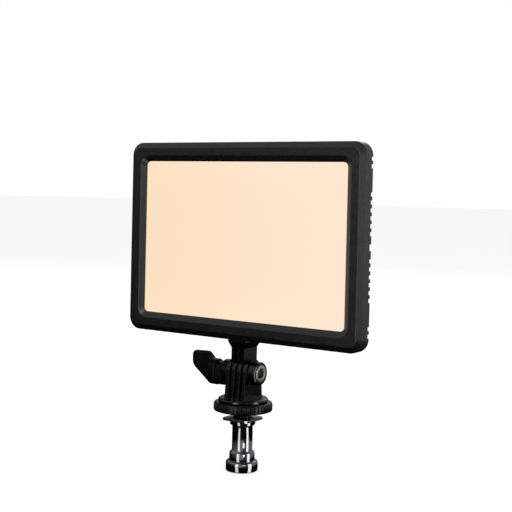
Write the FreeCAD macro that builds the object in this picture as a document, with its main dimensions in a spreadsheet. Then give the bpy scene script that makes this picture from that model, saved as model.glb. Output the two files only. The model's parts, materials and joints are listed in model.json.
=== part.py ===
"""LED panel light on a clevis tilt head, with its lock ring, shoe foot and stand spigot.

Millimetres, +Z up. The origin is the centre of the spigot's bottom face. The light
shines towards -Y, so X grows to the right of a person who looks at the lit face.
"""
import FreeCAD, Part
import math
import operator
import os
from types import SimpleNamespace

import Sketcher
from FreeCAD import Placement, Rotation, Vector

DRIVING_DIMENSIONS = {
    # the lit head
    "panel_w": 177.0,
    "panel_tall": 123.5,
    "panel_bottom": 82.65,
    "corner_r": 8.3,
    "wall": 2.0,
    "back_wall": 1.6,
    # places along Y, from the lit side (negative) to the back
    "front_face": -10.0,
    "edge_face": -7.8,
    "lens_face": -7.6,
    "split_face": -4.2,
    "rim_back": 0.2,
    "hump_back": 13.0,
    # window and its bevels
    "window_w": 152.0,
    "window_tall": 99.1,
    "window_r": 3.0,
    "outer_bevel": 3.6,
    "inner_bevel": 3.7,
    "inner_bevel_deep": 2.3,
    "rim_round": 0.8,
    "edge_round": 0.35,
    # cooling notches in the rear corner of both sides
    "notch_tall": 2.35,
    "notch_deep": 2.2,
    "notch_reach": 3.7,
    "notch_first": 7.95,
    "notch_pitch": 4.61,
    "notch_count": 6,
    "far_notch_first": 47.4,
    "far_notch_pitch": 4.4,
    "far_notch_count": 2,
    "scoop_half": 2.0,
    "scoop_deep": 2.4,
    # the box on the back that holds the electronics
    "hump_w": 144.0,
    "hump_tall": 96.0,
    "hump_r": 12.0,
    "hump_round": 4.5,
    "boss_w": 24.0,
    "boss_back": 9.5,
    "boss_tall": 8.25,
    # optical stack
    "layer_gap": 0.05,
    "diffuser_t": 1.0,
    "film_t": 0.2,
    "guide_t": 1.8,
    "reflector_t": 0.2,
    "chassis_t": 0.8,
    "led_count": 28,
    "led_pitch": 5.6,
    "led_w": 1.8,
    "led_deep": 1.4,
    "led_tall": 0.75,
    "strip_t": 1.0,
    "strip_w": 157.0,
    # screws
    "screw_r": 1.0,
    "screw_head_r": 1.9,
    "screw_head_t": 0.9,
    "post_r": 2.3,
    # controls on the back
    "dial_x": -50.0,
    "dial_r": 9.0,
    "dial_tall": 9.0,
    "dial_high": 22.0,
    "dial_low": -12.0,
    "dial_ribs": 30,
    "shaft_r": 3.0,
    "switch_x": 50.0,
    "jack_x": 50.0,
    "jack_r": 2.85,
    "jack_pin_r": 1.05,
    "board_front": 2.4,
    "board_t": 1.6,
    # battery plate
    "dock_w": 44.0,
    "dock_tall": 74.0,
    "dock_up": 3.0,
    "dock_base_t": 1.8,
    "dock_rail_back": 19.2,
    "button_x": 20.0,
    "button_up": -2.0,
    # tilt head
    "pivot_up": 62.1,
    "prong_pitch": 4.18,
    "bracket_prong": 1.6,
    "bracket_r": 6.9,
    "bracket_slot_top": 81.1,
    "fork_prong": 2.36,
    "fork_r": 8.6,
    "fork_base_half": 10.0,
    "fork_floor": 46.3,
    "fork_base": 46.1,
    "flange_r": 15.8,
    "flange_bottom": 43.6,
    "boss_r": 7.4,
    "boss_end": 13.1,
    "bolt_r": 3.0,
    "bolt_bore_r": 3.08,
    "nut_flats": 10.0,
    "washer_t": 1.0,
    # lever knob, measured from the pivot
    "lever_hub_start": -24.2,
    "lever_hub_end": -18.9,
    "lever_hub_r": 6.0,
    "lever_hub_top": 6.3,
    "lever_hub_bottom": -10.4,
    "lever_collar_r": 4.8,
    "lever_collar_end": -14.0,
    "lever_shoulder_r": 6.8,
    "lever_blade_t": 5.0,
    # lock ring, shoe foot and stem
    "ring_r": 18.6,
    "ring_bottom": 37.9,
    "ring_top": 43.5,
    "ring_ribs": 44,
    "stem_r": 6.0,
    "ring_bore_r": 6.05,
    "foot_w": 18.6,
    "foot_bottom": 31.7,
    "foot_t": 1.9,
    "foot_bore_r": 3.23,
    # stand spigot
    "spigot_top": 31.7,
    "spigot_flange_bottom": 28.9,
    "spigot_neck_bottom": 13.0,
    "spigot_base_top": 6.5,
    "spigot_r": 8.0,
    "spigot_neck_r": 6.5,
    "spigot_base_r": 10.1,
    "stud_r": 3.175,
    "socket_r": 4.0,
    "socket_deep": 11.0,
}

OPERATIONS = {"+": operator.add, "-": operator.sub, "*": operator.mul, "/": operator.truediv}


class Size:
    """A number that carries the spreadsheet formula it comes from."""

    def __init__(self, number, formula):
        self.number = number
        self.formula = formula

    def __add__(self, other):
        return combined(self, "+", other)

    def __radd__(self, other):
        return combined(other, "+", self)

    def __sub__(self, other):
        return combined(self, "-", other)

    def __rsub__(self, other):
        return combined(other, "-", self)

    def __mul__(self, other):
        return combined(self, "*", other)

    def __rmul__(self, other):
        return combined(other, "*", self)

    def __truediv__(self, other):
        return combined(self, "/", other)

    def __neg__(self):
        return combined(0, "-", self)


def number_of(size):
    return size.number if isinstance(size, Size) else size


def formula_of(size):
    return size.formula if isinstance(size, Size) else f"({size})"


def combined(left, sign, right):
    number = OPERATIONS[sign](number_of(left), number_of(right))
    return Size(number, f"({formula_of(left)} {sign} {formula_of(right)})")


doc = FreeCAD.newDocument("led_panel_light")
sheet = doc.addObject("Spreadsheet::Sheet", "Dims")
for row, (alias, value) in enumerate(DRIVING_DIMENSIONS.items(), start=1):
    sheet.set(f"A{row}", alias)
    sheet.set(f"B{row}", str(value))
    sheet.setAlias(f"B{row}", alias)
doc.recompute()
d = SimpleNamespace(**{alias: Size(value, f"Dims.{alias}") for alias, value in DRIVING_DIMENSIONS.items()})
panel_up = d.panel_bottom + d.panel_tall / 2
SUBPARTS = []


def subpart(name, item):
    """Name a finished piece and list it for export."""
    item.Label = name
    SUBPARTS.append(item)
    return item


# ---------------------------------------------------------------- primitives


def bind(item, **sizes):
    for name, size in sizes.items():
        item.setExpression(name, formula_of(size))


def move(item, x=0, y=0, z=0):
    for axis, size in zip("xyz", (x, y, z)):
        item.setExpression("Placement.Base." + axis, formula_of(size))


TURNS = {
    "x": Rotation(Vector(0, 1, 0), 90),
    "y": Rotation(Vector(1, 0, 0), -90),
    "z": Rotation(),
}


def block(name, across, depth, up):
    """A box between two X, two Y and two Z places."""
    item = doc.addObject("Part::Box", name)
    bind(item, Length=across[1] - across[0], Width=depth[1] - depth[0], Height=up[1] - up[0])
    move(item, across[0], depth[0], up[0])
    return item


def rod(name, axis, radius, start, end, x=0, y=0, z=0):
    """A cylinder along one axis, between two places on it."""
    item = doc.addObject("Part::Cylinder", name)
    item.Placement = Placement(Vector(), TURNS[axis])
    bind(item, Radius=radius, Height=end - start)
    move(item, **{**{"x": x, "y": y, "z": z}, axis: start})
    return item


def joined(name, *pieces):
    item = doc.addObject("Part::MultiFuse", name)
    item.Shapes = list(pieces)
    item.Refine = True
    return item


def group(name, *pieces):
    """Separate solids that share a node, such as the screws of one joint."""
    item = doc.addObject("Part::Compound", name)
    item.Links = list(pieces)
    return item


def cut(name, base, *tools):
    item = doc.addObject("Part::Cut", name)
    item.Base = base
    item.Tool = tools[0] if len(tools) == 1 else joined(name + "_tools", *tools)
    item.Refine = True
    return item


# ---------------------------------------------------------------- sketches


def new_body(name):
    return doc.addObject("PartDesign::Body", name)


def origin_feature(body, role):
    return next(item for item in body.Origin.OriginFeatures if item.Role == role)


def new_sketch(body, role, raised=0):
    """A sketch on one of the body's own planes, raised along the plane's normal."""
    sketch = body.newObject("Sketcher::SketchObject", body.Name + "_sketch")
    sketch.AttachmentSupport = [(origin_feature(body, role), "")]
    sketch.MapMode = "FlatFace"
    sketch.setExpression("AttachmentOffset.Base.z", formula_of(raised))
    return sketch


def dimension(sketch, kind, size, *where):
    """Add one driving dimension to a sketch and bind it to its formula."""
    index = sketch.addConstraint(Sketcher.Constraint(kind, *where, number_of(size)))
    if isinstance(size, Size):
        name = f"size_{index}"
        sketch.renameConstraint(index, name)
        sketch.setExpression("Constraints." + name, size.formula)


def pin_point(sketch, geometry, point, x, y):
    """Hold one point of a sketch at (x, y) from the sketch's origin."""
    for kind, size, axis in (("DistanceX", x, -2), ("DistanceY", y, -1)):
        if number_of(size) == 0:
            sketch.addConstraint(Sketcher.Constraint("PointOnObject", geometry, point, axis))
        else:
            dimension(sketch, kind, size, -1, 1, geometry, point)


def draw_polygon(sketch, points):
    """A closed outline of straight lines."""
    spots = [Vector(number_of(x), number_of(y), 0) for x, y in points]
    lines = [sketch.addGeometry(Part.LineSegment(a, b)) for a, b in zip(spots, spots[1:] + spots[:1])]
    for line, following in zip(lines, lines[1:] + lines[:1]):
        sketch.addConstraint(Sketcher.Constraint("Coincident", line, 2, following, 1))
    for line, (x, y) in zip(lines, points):
        pin_point(sketch, line, 1, x, y)


def draw_circle(sketch, radius, x=0, y=0):
    circle = sketch.addGeometry(
        Part.Circle(Vector(number_of(x), number_of(y), 0), Vector(0, 0, 1), number_of(radius))
    )
    dimension(sketch, "Radius", radius, circle)
    pin_point(sketch, circle, 3, x, y)


def draw_rectangle(sketch, left, bottom, right, top):
    draw_polygon(sketch, [(left, bottom), (right, bottom), (right, top), (left, top)])


def draw_around(sketch, x, y, half, margin=0):
    """A rectangle centred at (x, y), made wider by a margin on every side."""
    across, up = half[0] + margin, half[1] + margin
    draw_rectangle(sketch, x - across, y - up, x + across, y + up)


def draw_rounded(sketch, width, tall, corner):
    """A rectangle with four equal round corners, centred on the sketch's origin."""
    x, y, r = number_of(width) / 2, number_of(tall) / 2, number_of(corner)
    ends = [
        (Vector(-x + r, y, 0), Vector(x - r, y, 0)),
        (Vector(x, y - r, 0), Vector(x, -y + r, 0)),
        (Vector(x - r, -y, 0), Vector(-x + r, -y, 0)),
        (Vector(-x, -y + r, 0), Vector(-x, y - r, 0)),
    ]
    lines = [sketch.addGeometry(Part.LineSegment(a, b)) for a, b in ends]
    arcs = []
    corners = [(0, x - r, y - r), (3, x - r, r - y), (2, r - x, r - y), (1, r - x, y - r)]
    for quarter, cx, cy in corners:
        circle = Part.Circle(Vector(cx, cy, 0), Vector(0, 0, 1), r)
        arc = Part.ArcOfCircle(circle, quarter * math.pi / 2, (quarter + 1) * math.pi / 2)
        arcs.append(sketch.addGeometry(arc))
    top, right, bottom, left = lines
    rules = [Sketcher.Constraint("Horizontal", top), Sketcher.Constraint("Horizontal", bottom)]
    rules += [Sketcher.Constraint("Vertical", right), Sketcher.Constraint("Vertical", left)]
    for line, arc, following in zip(lines, arcs, lines[1:] + lines[:1]):
        rules.append(Sketcher.Constraint("Tangent", line, 2, arc, 2))
        rules.append(Sketcher.Constraint("Tangent", arc, 1, following, 1))
    rules += [Sketcher.Constraint("Equal", arcs[0], arc) for arc in arcs[1:]]
    sketch.addConstraint(rules)
    dimension(sketch, "Radius", corner, arcs[0])
    dimension(sketch, "DistanceX", width, left, 1, right, 1)
    dimension(sketch, "DistanceY", tall, bottom, 1, top, 1)
    dimension(sketch, "DistanceX", width / 2, -1, 1, right, 1)
    dimension(sketch, "DistanceY", tall / 2, -1, 1, top, 1)


def draw_stadium(sketch, radius, high, low):
    """A slot outline whose two round ends are centred at (0, high) and (0, low)."""
    r, a, b = number_of(radius), number_of(high), number_of(low)
    axis = Vector(0, 0, 1)
    top = sketch.addGeometry(Part.ArcOfCircle(Part.Circle(Vector(0, a, 0), axis, r), 0, math.pi))
    left = sketch.addGeometry(Part.LineSegment(Vector(-r, a, 0), Vector(-r, b, 0)))
    bottom = sketch.addGeometry(Part.ArcOfCircle(Part.Circle(Vector(0, b, 0), axis, r), math.pi, 2 * math.pi))
    right = sketch.addGeometry(Part.LineSegment(Vector(r, b, 0), Vector(r, a, 0)))
    outline = [top, left, bottom, right]
    for piece, following in zip(outline, outline[1:] + outline[:1]):
        sketch.addConstraint(Sketcher.Constraint("Tangent", piece, 2, following, 1))
    sketch.addConstraint(Sketcher.Constraint("Vertical", left))
    dimension(sketch, "Radius", radius, top)
    pin_point(sketch, top, 3, 0, high)
    dimension(sketch, "DistanceY", low, -1, 1, bottom, 3)


# ---------------------------------------------------------------- features


def feature(body, kind, sketch, length, reverse=False, midplane=False):
    item = body.newObject("PartDesign::" + kind, body.Name + "_" + kind.lower())
    item.Profile = sketch
    bind(item, Length=length)
    item.Reversed = reverse
    item.Midplane = midplane
    return item


def pad(body, sketch, length, **options):
    return feature(body, "Pad", sketch, length, **options)


def pocket(body, sketch, length, **options):
    """Remove a sketch's shape, and check that something was removed."""
    doc.recompute()
    before = body.Shape.Volume
    item = feature(body, "Pocket", sketch, length, **options)
    doc.recompute()
    if body.Shape.Volume >= before - 1e-6:
        raise RuntimeError(f"a pocket of {body.Name} removes nothing")
    return item


def edge_names(shape, test):
    """The names of the edges whose whole length passes the test."""
    names = []
    for index, edge in enumerate(shape.Edges, 1):
        first, last = edge.ParameterRange
        if all(test(edge.valueAt(first + (last - first) * step / 6)) for step in range(7)):
            names.append(f"Edge{index}")
    return names


def at_depth(y):
    """A test for points at one place along Y."""
    return lambda point: abs(point.y - number_of(y)) < 1e-4


def round_edges(body, test, radius):
    doc.recompute()
    base = body.Tip
    item = body.newObject("PartDesign::Fillet", body.Name + "_round")
    item.Base = (base, edge_names(base.Shape, test))
    bind(item, Radius=radius)
    doc.recompute()
    return item


def bevel_edges(body, test, first, second, flip=False):
    doc.recompute()
    base = body.Tip
    item = body.newObject("PartDesign::Chamfer", body.Name + "_bevel")
    item.Base = (base, edge_names(base.Shape, test))
    item.ChamferType = "Two distances"
    bind(item, Size=first, Size2=second)
    item.FlipDirection = flip
    doc.recompute()
    return item


def ring_of(body, original, count, axis="Z_Axis"):
    """Repeat a feature around one of the body's axes."""
    item = body.newObject("PartDesign::PolarPattern", body.Name + "_ring")
    item.Originals = [original]
    item.Axis = (origin_feature(body, axis), [""])
    item.Angle = 360
    bind(item, Occurrences=count)
    body.Tip = item
    return item


def row_of(body, original, pitch, count, axis="X_Axis"):
    """Repeat a feature in a straight row."""
    item = body.newObject("PartDesign::LinearPattern", body.Name + "_row")
    item.Originals = [original]
    item.Direction = (origin_feature(body, axis), [""])
    bind(item, Length=pitch * (count - 1), Occurrences=count)
    body.Tip = item
    return item


def four_ways(body, original, pitch, count):
    """Repeat a notch up one side, then mirror the row downwards and to the other side."""
    item = body.newObject("PartDesign::MultiTransform", body.Name + "_notches")
    item.Originals = [original]
    row = body.newObject("PartDesign::LinearPattern", body.Name + "_row")
    row.Direction = (origin_feature(body, "Z_Axis"), [""])
    bind(row, Length=pitch * (count - 1), Occurrences=count)
    mirrors = []
    for plane in ("XY_Plane", "YZ_Plane"):
        mirror = body.newObject("PartDesign::Mirrored", body.Name + "_mirror")
        mirror.MirrorPlane = (origin_feature(body, plane), [""])
        mirrors.append(mirror)
    item.Transformations = [row] + mirrors
    body.Tip = item
    return item


def turned(name, profile, axis="z", start=0, x=0, y=0, z=0):
    """A turned piece: the profile's points are (radius, distance along the axis)."""
    body = new_body(name)
    sketch = new_sketch(body, "XZ_Plane")
    draw_polygon(sketch, profile)
    item = body.newObject("PartDesign::Revolution", name + "_revolution")
    item.Profile = sketch
    item.ReferenceAxis = (sketch, ["V_Axis"])
    item.Angle = 360
    body.Placement = Placement(Vector(), TURNS[axis])
    move(body, **{**{"x": x, "y": y, "z": z}, axis: start})
    return body


def hexagon(name, flats, start, end, z):
    """A six-sided prism along X, with flats that face up and down."""
    item = doc.addObject("Part::Prism", name)
    item.Polygon = 6
    item.Placement = Placement(Vector(), TURNS["x"] * Rotation(Vector(0, 0, 1), 30))
    bind(item, Circumradius=flats / math.sqrt(3), Height=end - start)
    move(item, start, 0, z)
    return item


def block_around(name, x, z, half, margin, depth):
    """A box across the lit head, centred at (x, z) from the head's middle."""
    across, tall = half[0] + margin, half[1] + margin
    up = panel_up + z
    return block(name, (x - across, x + across), depth, (up - tall, up + tall))


def panel_plate(name, width, tall, corner, front, back):
    """A flat plate that lies across the lit head, centred on it."""
    body = new_body(name)
    sketch = new_sketch(body, "XZ_Plane", -back)
    draw_rounded(sketch, width, tall, corner)
    pad(body, sketch, back - front)
    move(body, z=panel_up)
    return body


# ---------------------------------------------------------------- lit head: casing

POST_PLACES = [(x, z) for x in (-82.3, 82.3) for z in (-55.9, 55.9)]
POST_PLACES += [(x, z) for x in (-30.0, 30.0) for z in (-56.8, 56.8)]
CHASSIS_PLACES = [(x, z) for x in (-82.2, 82.2) for z in (-40.0, 40.0)]
BOARD_PLACES = [(x, z) for x in (-62.0, 62.0) for z in (-20.0, 32.0)]
DOCK_SCREW_PLACES = [(x, z) for x in (-14.0, 14.0) for z in (-22.0, 22.0)]
CONTACT_PLACES = (-6.0, 0.0, 6.0)
CONTACT_UP = -28.5
CONTACT_HALF = (0.4, 2.4)
FIT_GAP = 0.1
SWITCH_HALF = (4.5, 7.1)
BUTTON_HALF = (9.0, 4.0)
BUTTON_BACK = 17.3
CUP_HALF = (9.9, 4.9)
CUP_WALL = 0.9
VENT_COUNT = 7
VENT_FIRST = 31.0
VENT_PITCH = 5.0
VENT_UP = -33.5
VENT_HALF = (0.9, 6.5)
ROCKER_AXIS = 11.6
ROCKER_REST = -9.0
INSERT_R = 4.0
INSERT_DEPTH = 1.5
DOCK_WALL = 2.4
STRIP_UP = 52.4
WIRE_SLOT_X = 66.0
STEM_TOP = 45.0
BOLT_HEAD = -20.0
STUD_GRIP = 8.0
inner_back = d.rim_back - d.back_wall
hump_inner = d.hump_back - d.back_wall - 0.2
diffuser_back = d.lens_face + d.layer_gap + d.diffuser_t
film_back = diffuser_back + d.layer_gap + d.film_t
guide_back = film_back + d.layer_gap + d.guide_t
reflector_back = guide_back + d.layer_gap + d.reflector_t
chassis_front = reflector_back + d.layer_gap
chassis_back = chassis_front + d.chassis_t
board_back = d.board_front + d.board_t
cup_floor = board_back + 1.3
fork_half = 1.5 * d.prong_pitch + d.fork_prong / 2


def posts(body, places, radius, start, end):
    """Screw posts that stand on the inside of the front wall."""
    sketch = new_sketch(body, "XZ_Plane", -end)
    for x, z in places:
        draw_circle(sketch, radius, x, z)
    return pad(body, sketch, end - start)


def front_edge(inner):
    """A test for points on the front face, either around the window or around the outside."""
    half_w = number_of(d.window_w) / 2 + 0.01
    half_tall = number_of(d.window_tall) / 2 + 0.01

    def test(point):
        in_window = abs(point.x) < half_w and abs(point.z) < half_tall
        return at_depth(d.front_face)(point) and in_window == inner

    return test


def make_front_bezel():
    body = new_body("front_bezel")
    outline = new_sketch(body, "XZ_Plane", -d.split_face)
    draw_rounded(outline, d.panel_w, d.panel_tall, d.corner_r)
    pad(body, outline, d.split_face - d.front_face)
    window = new_sketch(body, "XZ_Plane", -d.front_face)
    draw_rounded(window, d.window_w, d.window_tall, d.window_r)
    pocket(body, window, d.split_face - d.front_face)
    bevel_edges(body, front_edge(False), d.outer_bevel, d.edge_face - d.front_face, flip=True)
    bevel_edges(body, front_edge(True), d.inner_bevel_deep, d.inner_bevel, flip=True)
    round_edges(body, at_depth(d.front_face), d.edge_round)
    cavity = new_sketch(body, "XZ_Plane", -d.split_face)
    draw_rounded(cavity, d.panel_w - 2 * d.wall, d.panel_tall - 2 * d.wall, d.corner_r - d.wall)
    pocket(body, cavity, d.split_face - d.lens_face, reverse=True)
    posts(body, POST_PLACES, d.post_r, d.lens_face, inner_back - 0.1)
    posts(body, CHASSIS_PLACES, d.post_r, d.lens_face, chassis_front)
    ribs = new_sketch(body, "XZ_Plane", -(d.split_face - 0.1))
    for side in (-1, 1):
        draw_rectangle(ribs, -79.0, side * 53.45, 79.0, side * 54.25)
    pad(body, ribs, d.split_face - 0.1 - d.lens_face)
    pilots = new_sketch(body, "XZ_Plane", -inner_back)
    for x, z in POST_PLACES + CHASSIS_PLACES:
        draw_circle(pilots, d.screw_r, x, z)
    pocket(body, pilots, inner_back - (d.lens_face + 0.4), reverse=True)
    move(body, z=panel_up)
    subpart("front_bezel", body)


def notch(body, first, pitch, count):
    """Cooling notches through the rear corner of both side walls."""
    sketch = new_sketch(body, "XZ_Plane", -(d.rim_back - d.notch_deep))
    edge = d.panel_w / 2
    half = d.notch_tall / 2
    draw_rectangle(sketch, edge - d.notch_reach, first - half, edge + 1, first + half)
    slot = pocket(body, sketch, d.notch_deep + 1)
    four_ways(body, slot, pitch, count)


def make_rear_housing():
    body = new_body("rear_housing")
    rim = new_sketch(body, "XZ_Plane", -d.rim_back)
    draw_rounded(rim, d.panel_w, d.panel_tall, d.corner_r)
    pad(body, rim, d.rim_back - d.split_face)
    round_edges(body, at_depth(d.rim_back), d.rim_round)
    hump = new_sketch(body, "XZ_Plane", -d.rim_back)
    draw_rounded(hump, d.hump_w, d.hump_tall, d.hump_r)
    pad(body, hump, d.hump_back - d.rim_back, reverse=True)
    round_edges(body, at_depth(d.hump_back), d.hump_round)
    outer_boss = new_sketch(body, "XZ_Plane", -inner_back)
    low = -d.panel_tall / 2
    draw_rectangle(outer_boss, -d.boss_w / 2, low, d.boss_w / 2, -d.hump_tall / 2 + 3)
    pad(body, outer_boss, d.boss_back - inner_back, reverse=True)
    rim_cavity = new_sketch(body, "XZ_Plane", -d.split_face)
    draw_rounded(rim_cavity, d.panel_w - 2 * d.wall, d.panel_tall - 2 * d.wall, d.corner_r - d.wall)
    pocket(body, rim_cavity, inner_back - d.split_face)
    hump_cavity = new_sketch(body, "XZ_Plane", -d.split_face)
    inner_w, inner_tall = d.hump_w - 2 * d.wall, d.hump_tall - 2 * d.wall
    draw_rounded(hump_cavity, inner_w, inner_tall, d.hump_r - d.wall)
    pocket(body, hump_cavity, hump_inner - d.split_face)
    inner_boss = new_sketch(body, "XZ_Plane", -inner_back)
    draw_rectangle(inner_boss, -d.boss_w / 2, low, d.boss_w / 2, low + d.boss_tall)
    pad(body, inner_boss, inner_back - d.split_face)
    board_posts = new_sketch(body, "XZ_Plane", -hump_inner)
    for x, z in BOARD_PLACES:
        draw_circle(board_posts, d.post_r, x, z)
    pad(body, board_posts, hump_inner - board_back)
    cup = new_sketch(body, "XZ_Plane", -hump_inner)
    x, z = d.button_x, d.button_up
    draw_around(cup, x, z, CUP_HALF, CUP_WALL)
    draw_around(cup, x, z, CUP_HALF)
    pad(body, cup, hump_inner - cup_floor)
    floor = new_sketch(body, "XZ_Plane", -cup_floor)
    draw_around(floor, x, z, CUP_HALF, CUP_WALL)
    pad(body, floor, CUP_WALL)
    notch(body, d.notch_first, d.notch_pitch, d.notch_count)
    notch(body, d.far_notch_first, d.far_notch_pitch, d.far_notch_count)
    scoops = new_sketch(body, "XY_Plane", -d.scoop_half)
    for side in (-1, 1):
        edge = side * d.panel_w / 2
        across = sorted((edge - side * d.notch_reach, edge + side), key=number_of)
        draw_rectangle(scoops, across[0], d.rim_back - d.scoop_deep, across[1], d.rim_back + 1)
    pocket(body, scoops, 2 * d.scoop_half, reverse=True)
    cut_through_back(body)
    move(body, z=panel_up)
    subpart("rear_housing", body)


def cut_through_back(body):
    """Holes for the screws, dials, switch, jack, battery plate, button, insert and vents."""
    holes = new_sketch(body, "XZ_Plane", -hump_inner)
    for up in (d.dial_high, d.dial_low):
        draw_circle(holes, d.shaft_r + 0.9, d.dial_x, up)
    draw_circle(holes, d.jack_r + 1.6, d.jack_x, d.dial_low)
    draw_around(holes, d.switch_x, d.dial_high, SWITCH_HALF, FIT_GAP)
    draw_around(holes, d.button_x, d.button_up, BUTTON_HALF, FIT_GAP)
    for x in CONTACT_PLACES:
        draw_around(holes, x, CONTACT_UP, CONTACT_HALF, 0.3)
    for x, z in DOCK_SCREW_PLACES:
        draw_circle(holes, d.screw_r + FIT_GAP, x, z)
    pocket(body, holes, d.hump_back - hump_inner + 1)
    vents = new_sketch(body, "XZ_Plane", -hump_inner)
    for side in (-1, 1):
        for step in range(VENT_COUNT):
            draw_around(vents, side * (VENT_FIRST + VENT_PITCH * step), VENT_UP, VENT_HALF)
    pocket(body, vents, d.hump_back - hump_inner + 1)
    screws = new_sketch(body, "XZ_Plane", -inner_back)
    heads = new_sketch(body, "XZ_Plane", -(d.rim_back - 1.0))
    for x, z in POST_PLACES:
        draw_circle(screws, d.screw_r + FIT_GAP, x, z)
        draw_circle(heads, d.screw_head_r + FIT_GAP, x, z)
    pocket(body, screws, 3)
    pocket(body, heads, 3)
    pilots = new_sketch(body, "XZ_Plane", -board_back)
    for x, z in BOARD_PLACES:
        draw_circle(pilots, d.screw_r, x, z)
    pocket(body, pilots, 5.0)
    insert = new_sketch(body, "XY_Plane", -d.panel_tall / 2)
    draw_circle(insert, INSERT_R, 0, INSERT_DEPTH)
    pocket(body, insert, d.boss_tall - 0.2, reverse=True)


# ---------------------------------------------------------------- lit head: optics


def screws(name, places, head_front, tip):
    """Screws along Y whose heads face backwards."""
    length = head_front - tip
    head_back = length + d.screw_head_t
    profile = [(0, 0), (d.screw_r, 0), (d.screw_r, length), (d.screw_head_r, length),
               (d.screw_head_r, head_back - 0.3), (d.screw_head_r - 0.5, head_back), (0, head_back)]
    pieces = []
    for index, (x, z) in enumerate(places):
        pieces.append(turned(f"{name}_{index}", profile, "y", tip, x=x, z=panel_up + z))
    subpart(name, group(name, *pieces))


def make_optics():
    front = d.lens_face + d.layer_gap
    subpart("diffuser_panel", panel_plate("diffuser_panel", 159.4, 106.6, 4.0, front, diffuser_back))
    film = panel_plate("prism_film", 158.6, 104.6, 2.0, diffuser_back + d.layer_gap, film_back)
    subpart("prism_film", film)
    guide = panel_plate("light_guide_plate", 157.0, 103.0, 1.0, film_back + d.layer_gap, guide_back)
    subpart("light_guide_plate", guide)
    reflector = panel_plate("reflector_sheet", 158.0, 103.0, 1.0, guide_back + d.layer_gap, reflector_back)
    subpart("reflector_sheet", reflector)
    chassis = panel_plate("chassis_plate", 168.0, 106.6, 2.0, chassis_front, chassis_back)
    holes = new_sketch(chassis, "XZ_Plane", -chassis_front)
    for x, z in CHASSIS_PLACES:
        draw_circle(holes, d.screw_r + FIT_GAP, x, z)
    for side in (-1, 1):
        draw_around(holes, side * WIRE_SLOT_X, -44.5, (2.5, 1.5))
    pocket(chassis, holes, d.chassis_t + 1)
    subpart("chassis_plate", chassis)
    screws("chassis_screws", CHASSIS_PLACES, chassis_back, d.lens_face + 0.5)
    screws("housing_screws", POST_PLACES, d.rim_back - 1.0, d.lens_face + 0.5)


def make_led_strips():
    """An LED strip stands along the top and the bottom edge of the light guide."""
    depth = (film_back + d.layer_gap, chassis_front - 0.1)
    rows = {"warm_leds": [], "cool_leds": []}
    for name, side in (("led_strip_top", 1), ("led_strip_bottom", -1)):
        middle = panel_up + side * (STRIP_UP + d.strip_t / 2)
        up = (middle - d.strip_t / 2, middle + d.strip_t / 2)
        subpart(name, block(name, (-d.strip_w / 2, d.strip_w / 2), depth, up))
        inner = panel_up + side * (STRIP_UP - d.led_tall / 2)
        for kind, shift in (("warm_leds", 0), ("cool_leds", 0.5)):
            body = new_body(f"{kind}_{name}")
            body.AllowCompound = True
            sketch = new_sketch(body, "XY_Plane", -d.led_tall / 2)
            start = -d.strip_w / 2 + 0.8 + shift * d.led_pitch
            draw_rectangle(sketch, start, depth[0] + 0.15, start + d.led_w, depth[0] + 0.15 + d.led_deep)
            row_of(body, pad(body, sketch, d.led_tall), d.led_pitch, d.led_count)
            move(body, z=inner)
            rows[kind].append(body)
    for kind, pieces in rows.items():
        subpart(kind, group(kind, *pieces))


# ---------------------------------------------------------------- lit head: electronics


def ribbed(body, radius, count, deep, share, start, end):
    """Cut straight grip grooves into a turned body's side, between two places on its axis."""
    sketch = new_sketch(body, "XY_Plane", start)
    half = number_of(radius) * math.pi / number_of(count) * share
    draw_polygon(sketch, [(radius - deep, -half * 0.6), (radius + 0.5, -half * 1.3),
                          (radius + 0.5, half * 1.3), (radius - deep, half * 0.6)])
    return ring_of(body, pocket(body, sketch, end - start, reverse=True), count)


def make_dial(name, up):
    """A potentiometer on the board, its shaft, and the ribbed dial on the shaft."""
    x, up = d.dial_x, panel_up + up
    side, case_back, shaft_back, lift = 6.0, 9.6, d.hump_back + 7.5, 0.4
    case = block(f"{name}_pot_case", (x - side, x + side), (board_back, case_back), (up - side, up + side))
    bush = rod(f"{name}_pot_bush", "y", d.shaft_r + 0.8, case_back, d.hump_back + 0.1, x=x, z=up)
    bore = rod(f"{name}_pot_bore", "y", d.shaft_r + 0.05, board_back + 1, d.hump_back + 2, x=x, z=up)
    subpart(f"{name}_pot", cut(f"{name}_pot", joined(f"{name}_pot_body", case, bush), bore))
    shaft = rod(f"{name}_shaft", "y", d.shaft_r, board_back + 1.2, shaft_back, x=x, z=up)
    subpart(f"{name}_shaft", shaft)
    r, tall = d.dial_r, d.dial_tall
    socket = shaft_back - d.hump_back - lift
    profile = [(d.shaft_r, 0), (r + 0.6, 0), (r + 0.6, 1.2), (r, 1.8), (r - 0.3, tall - 1.0), (r - 1.3, tall),
               (r - 3.2, tall), (r - 3.6, tall - 0.4), (0, tall - 0.4), (0, socket), (d.shaft_r, socket)]
    dial = turned(f"{name}_dial", profile, "y", d.hump_back + lift, x=x, z=up)
    ribbed(dial, r, d.dial_ribs, 0.45, 0.5, 2.2, tall - 1.1)
    subpart(f"{name}_dial", dial)


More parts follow.
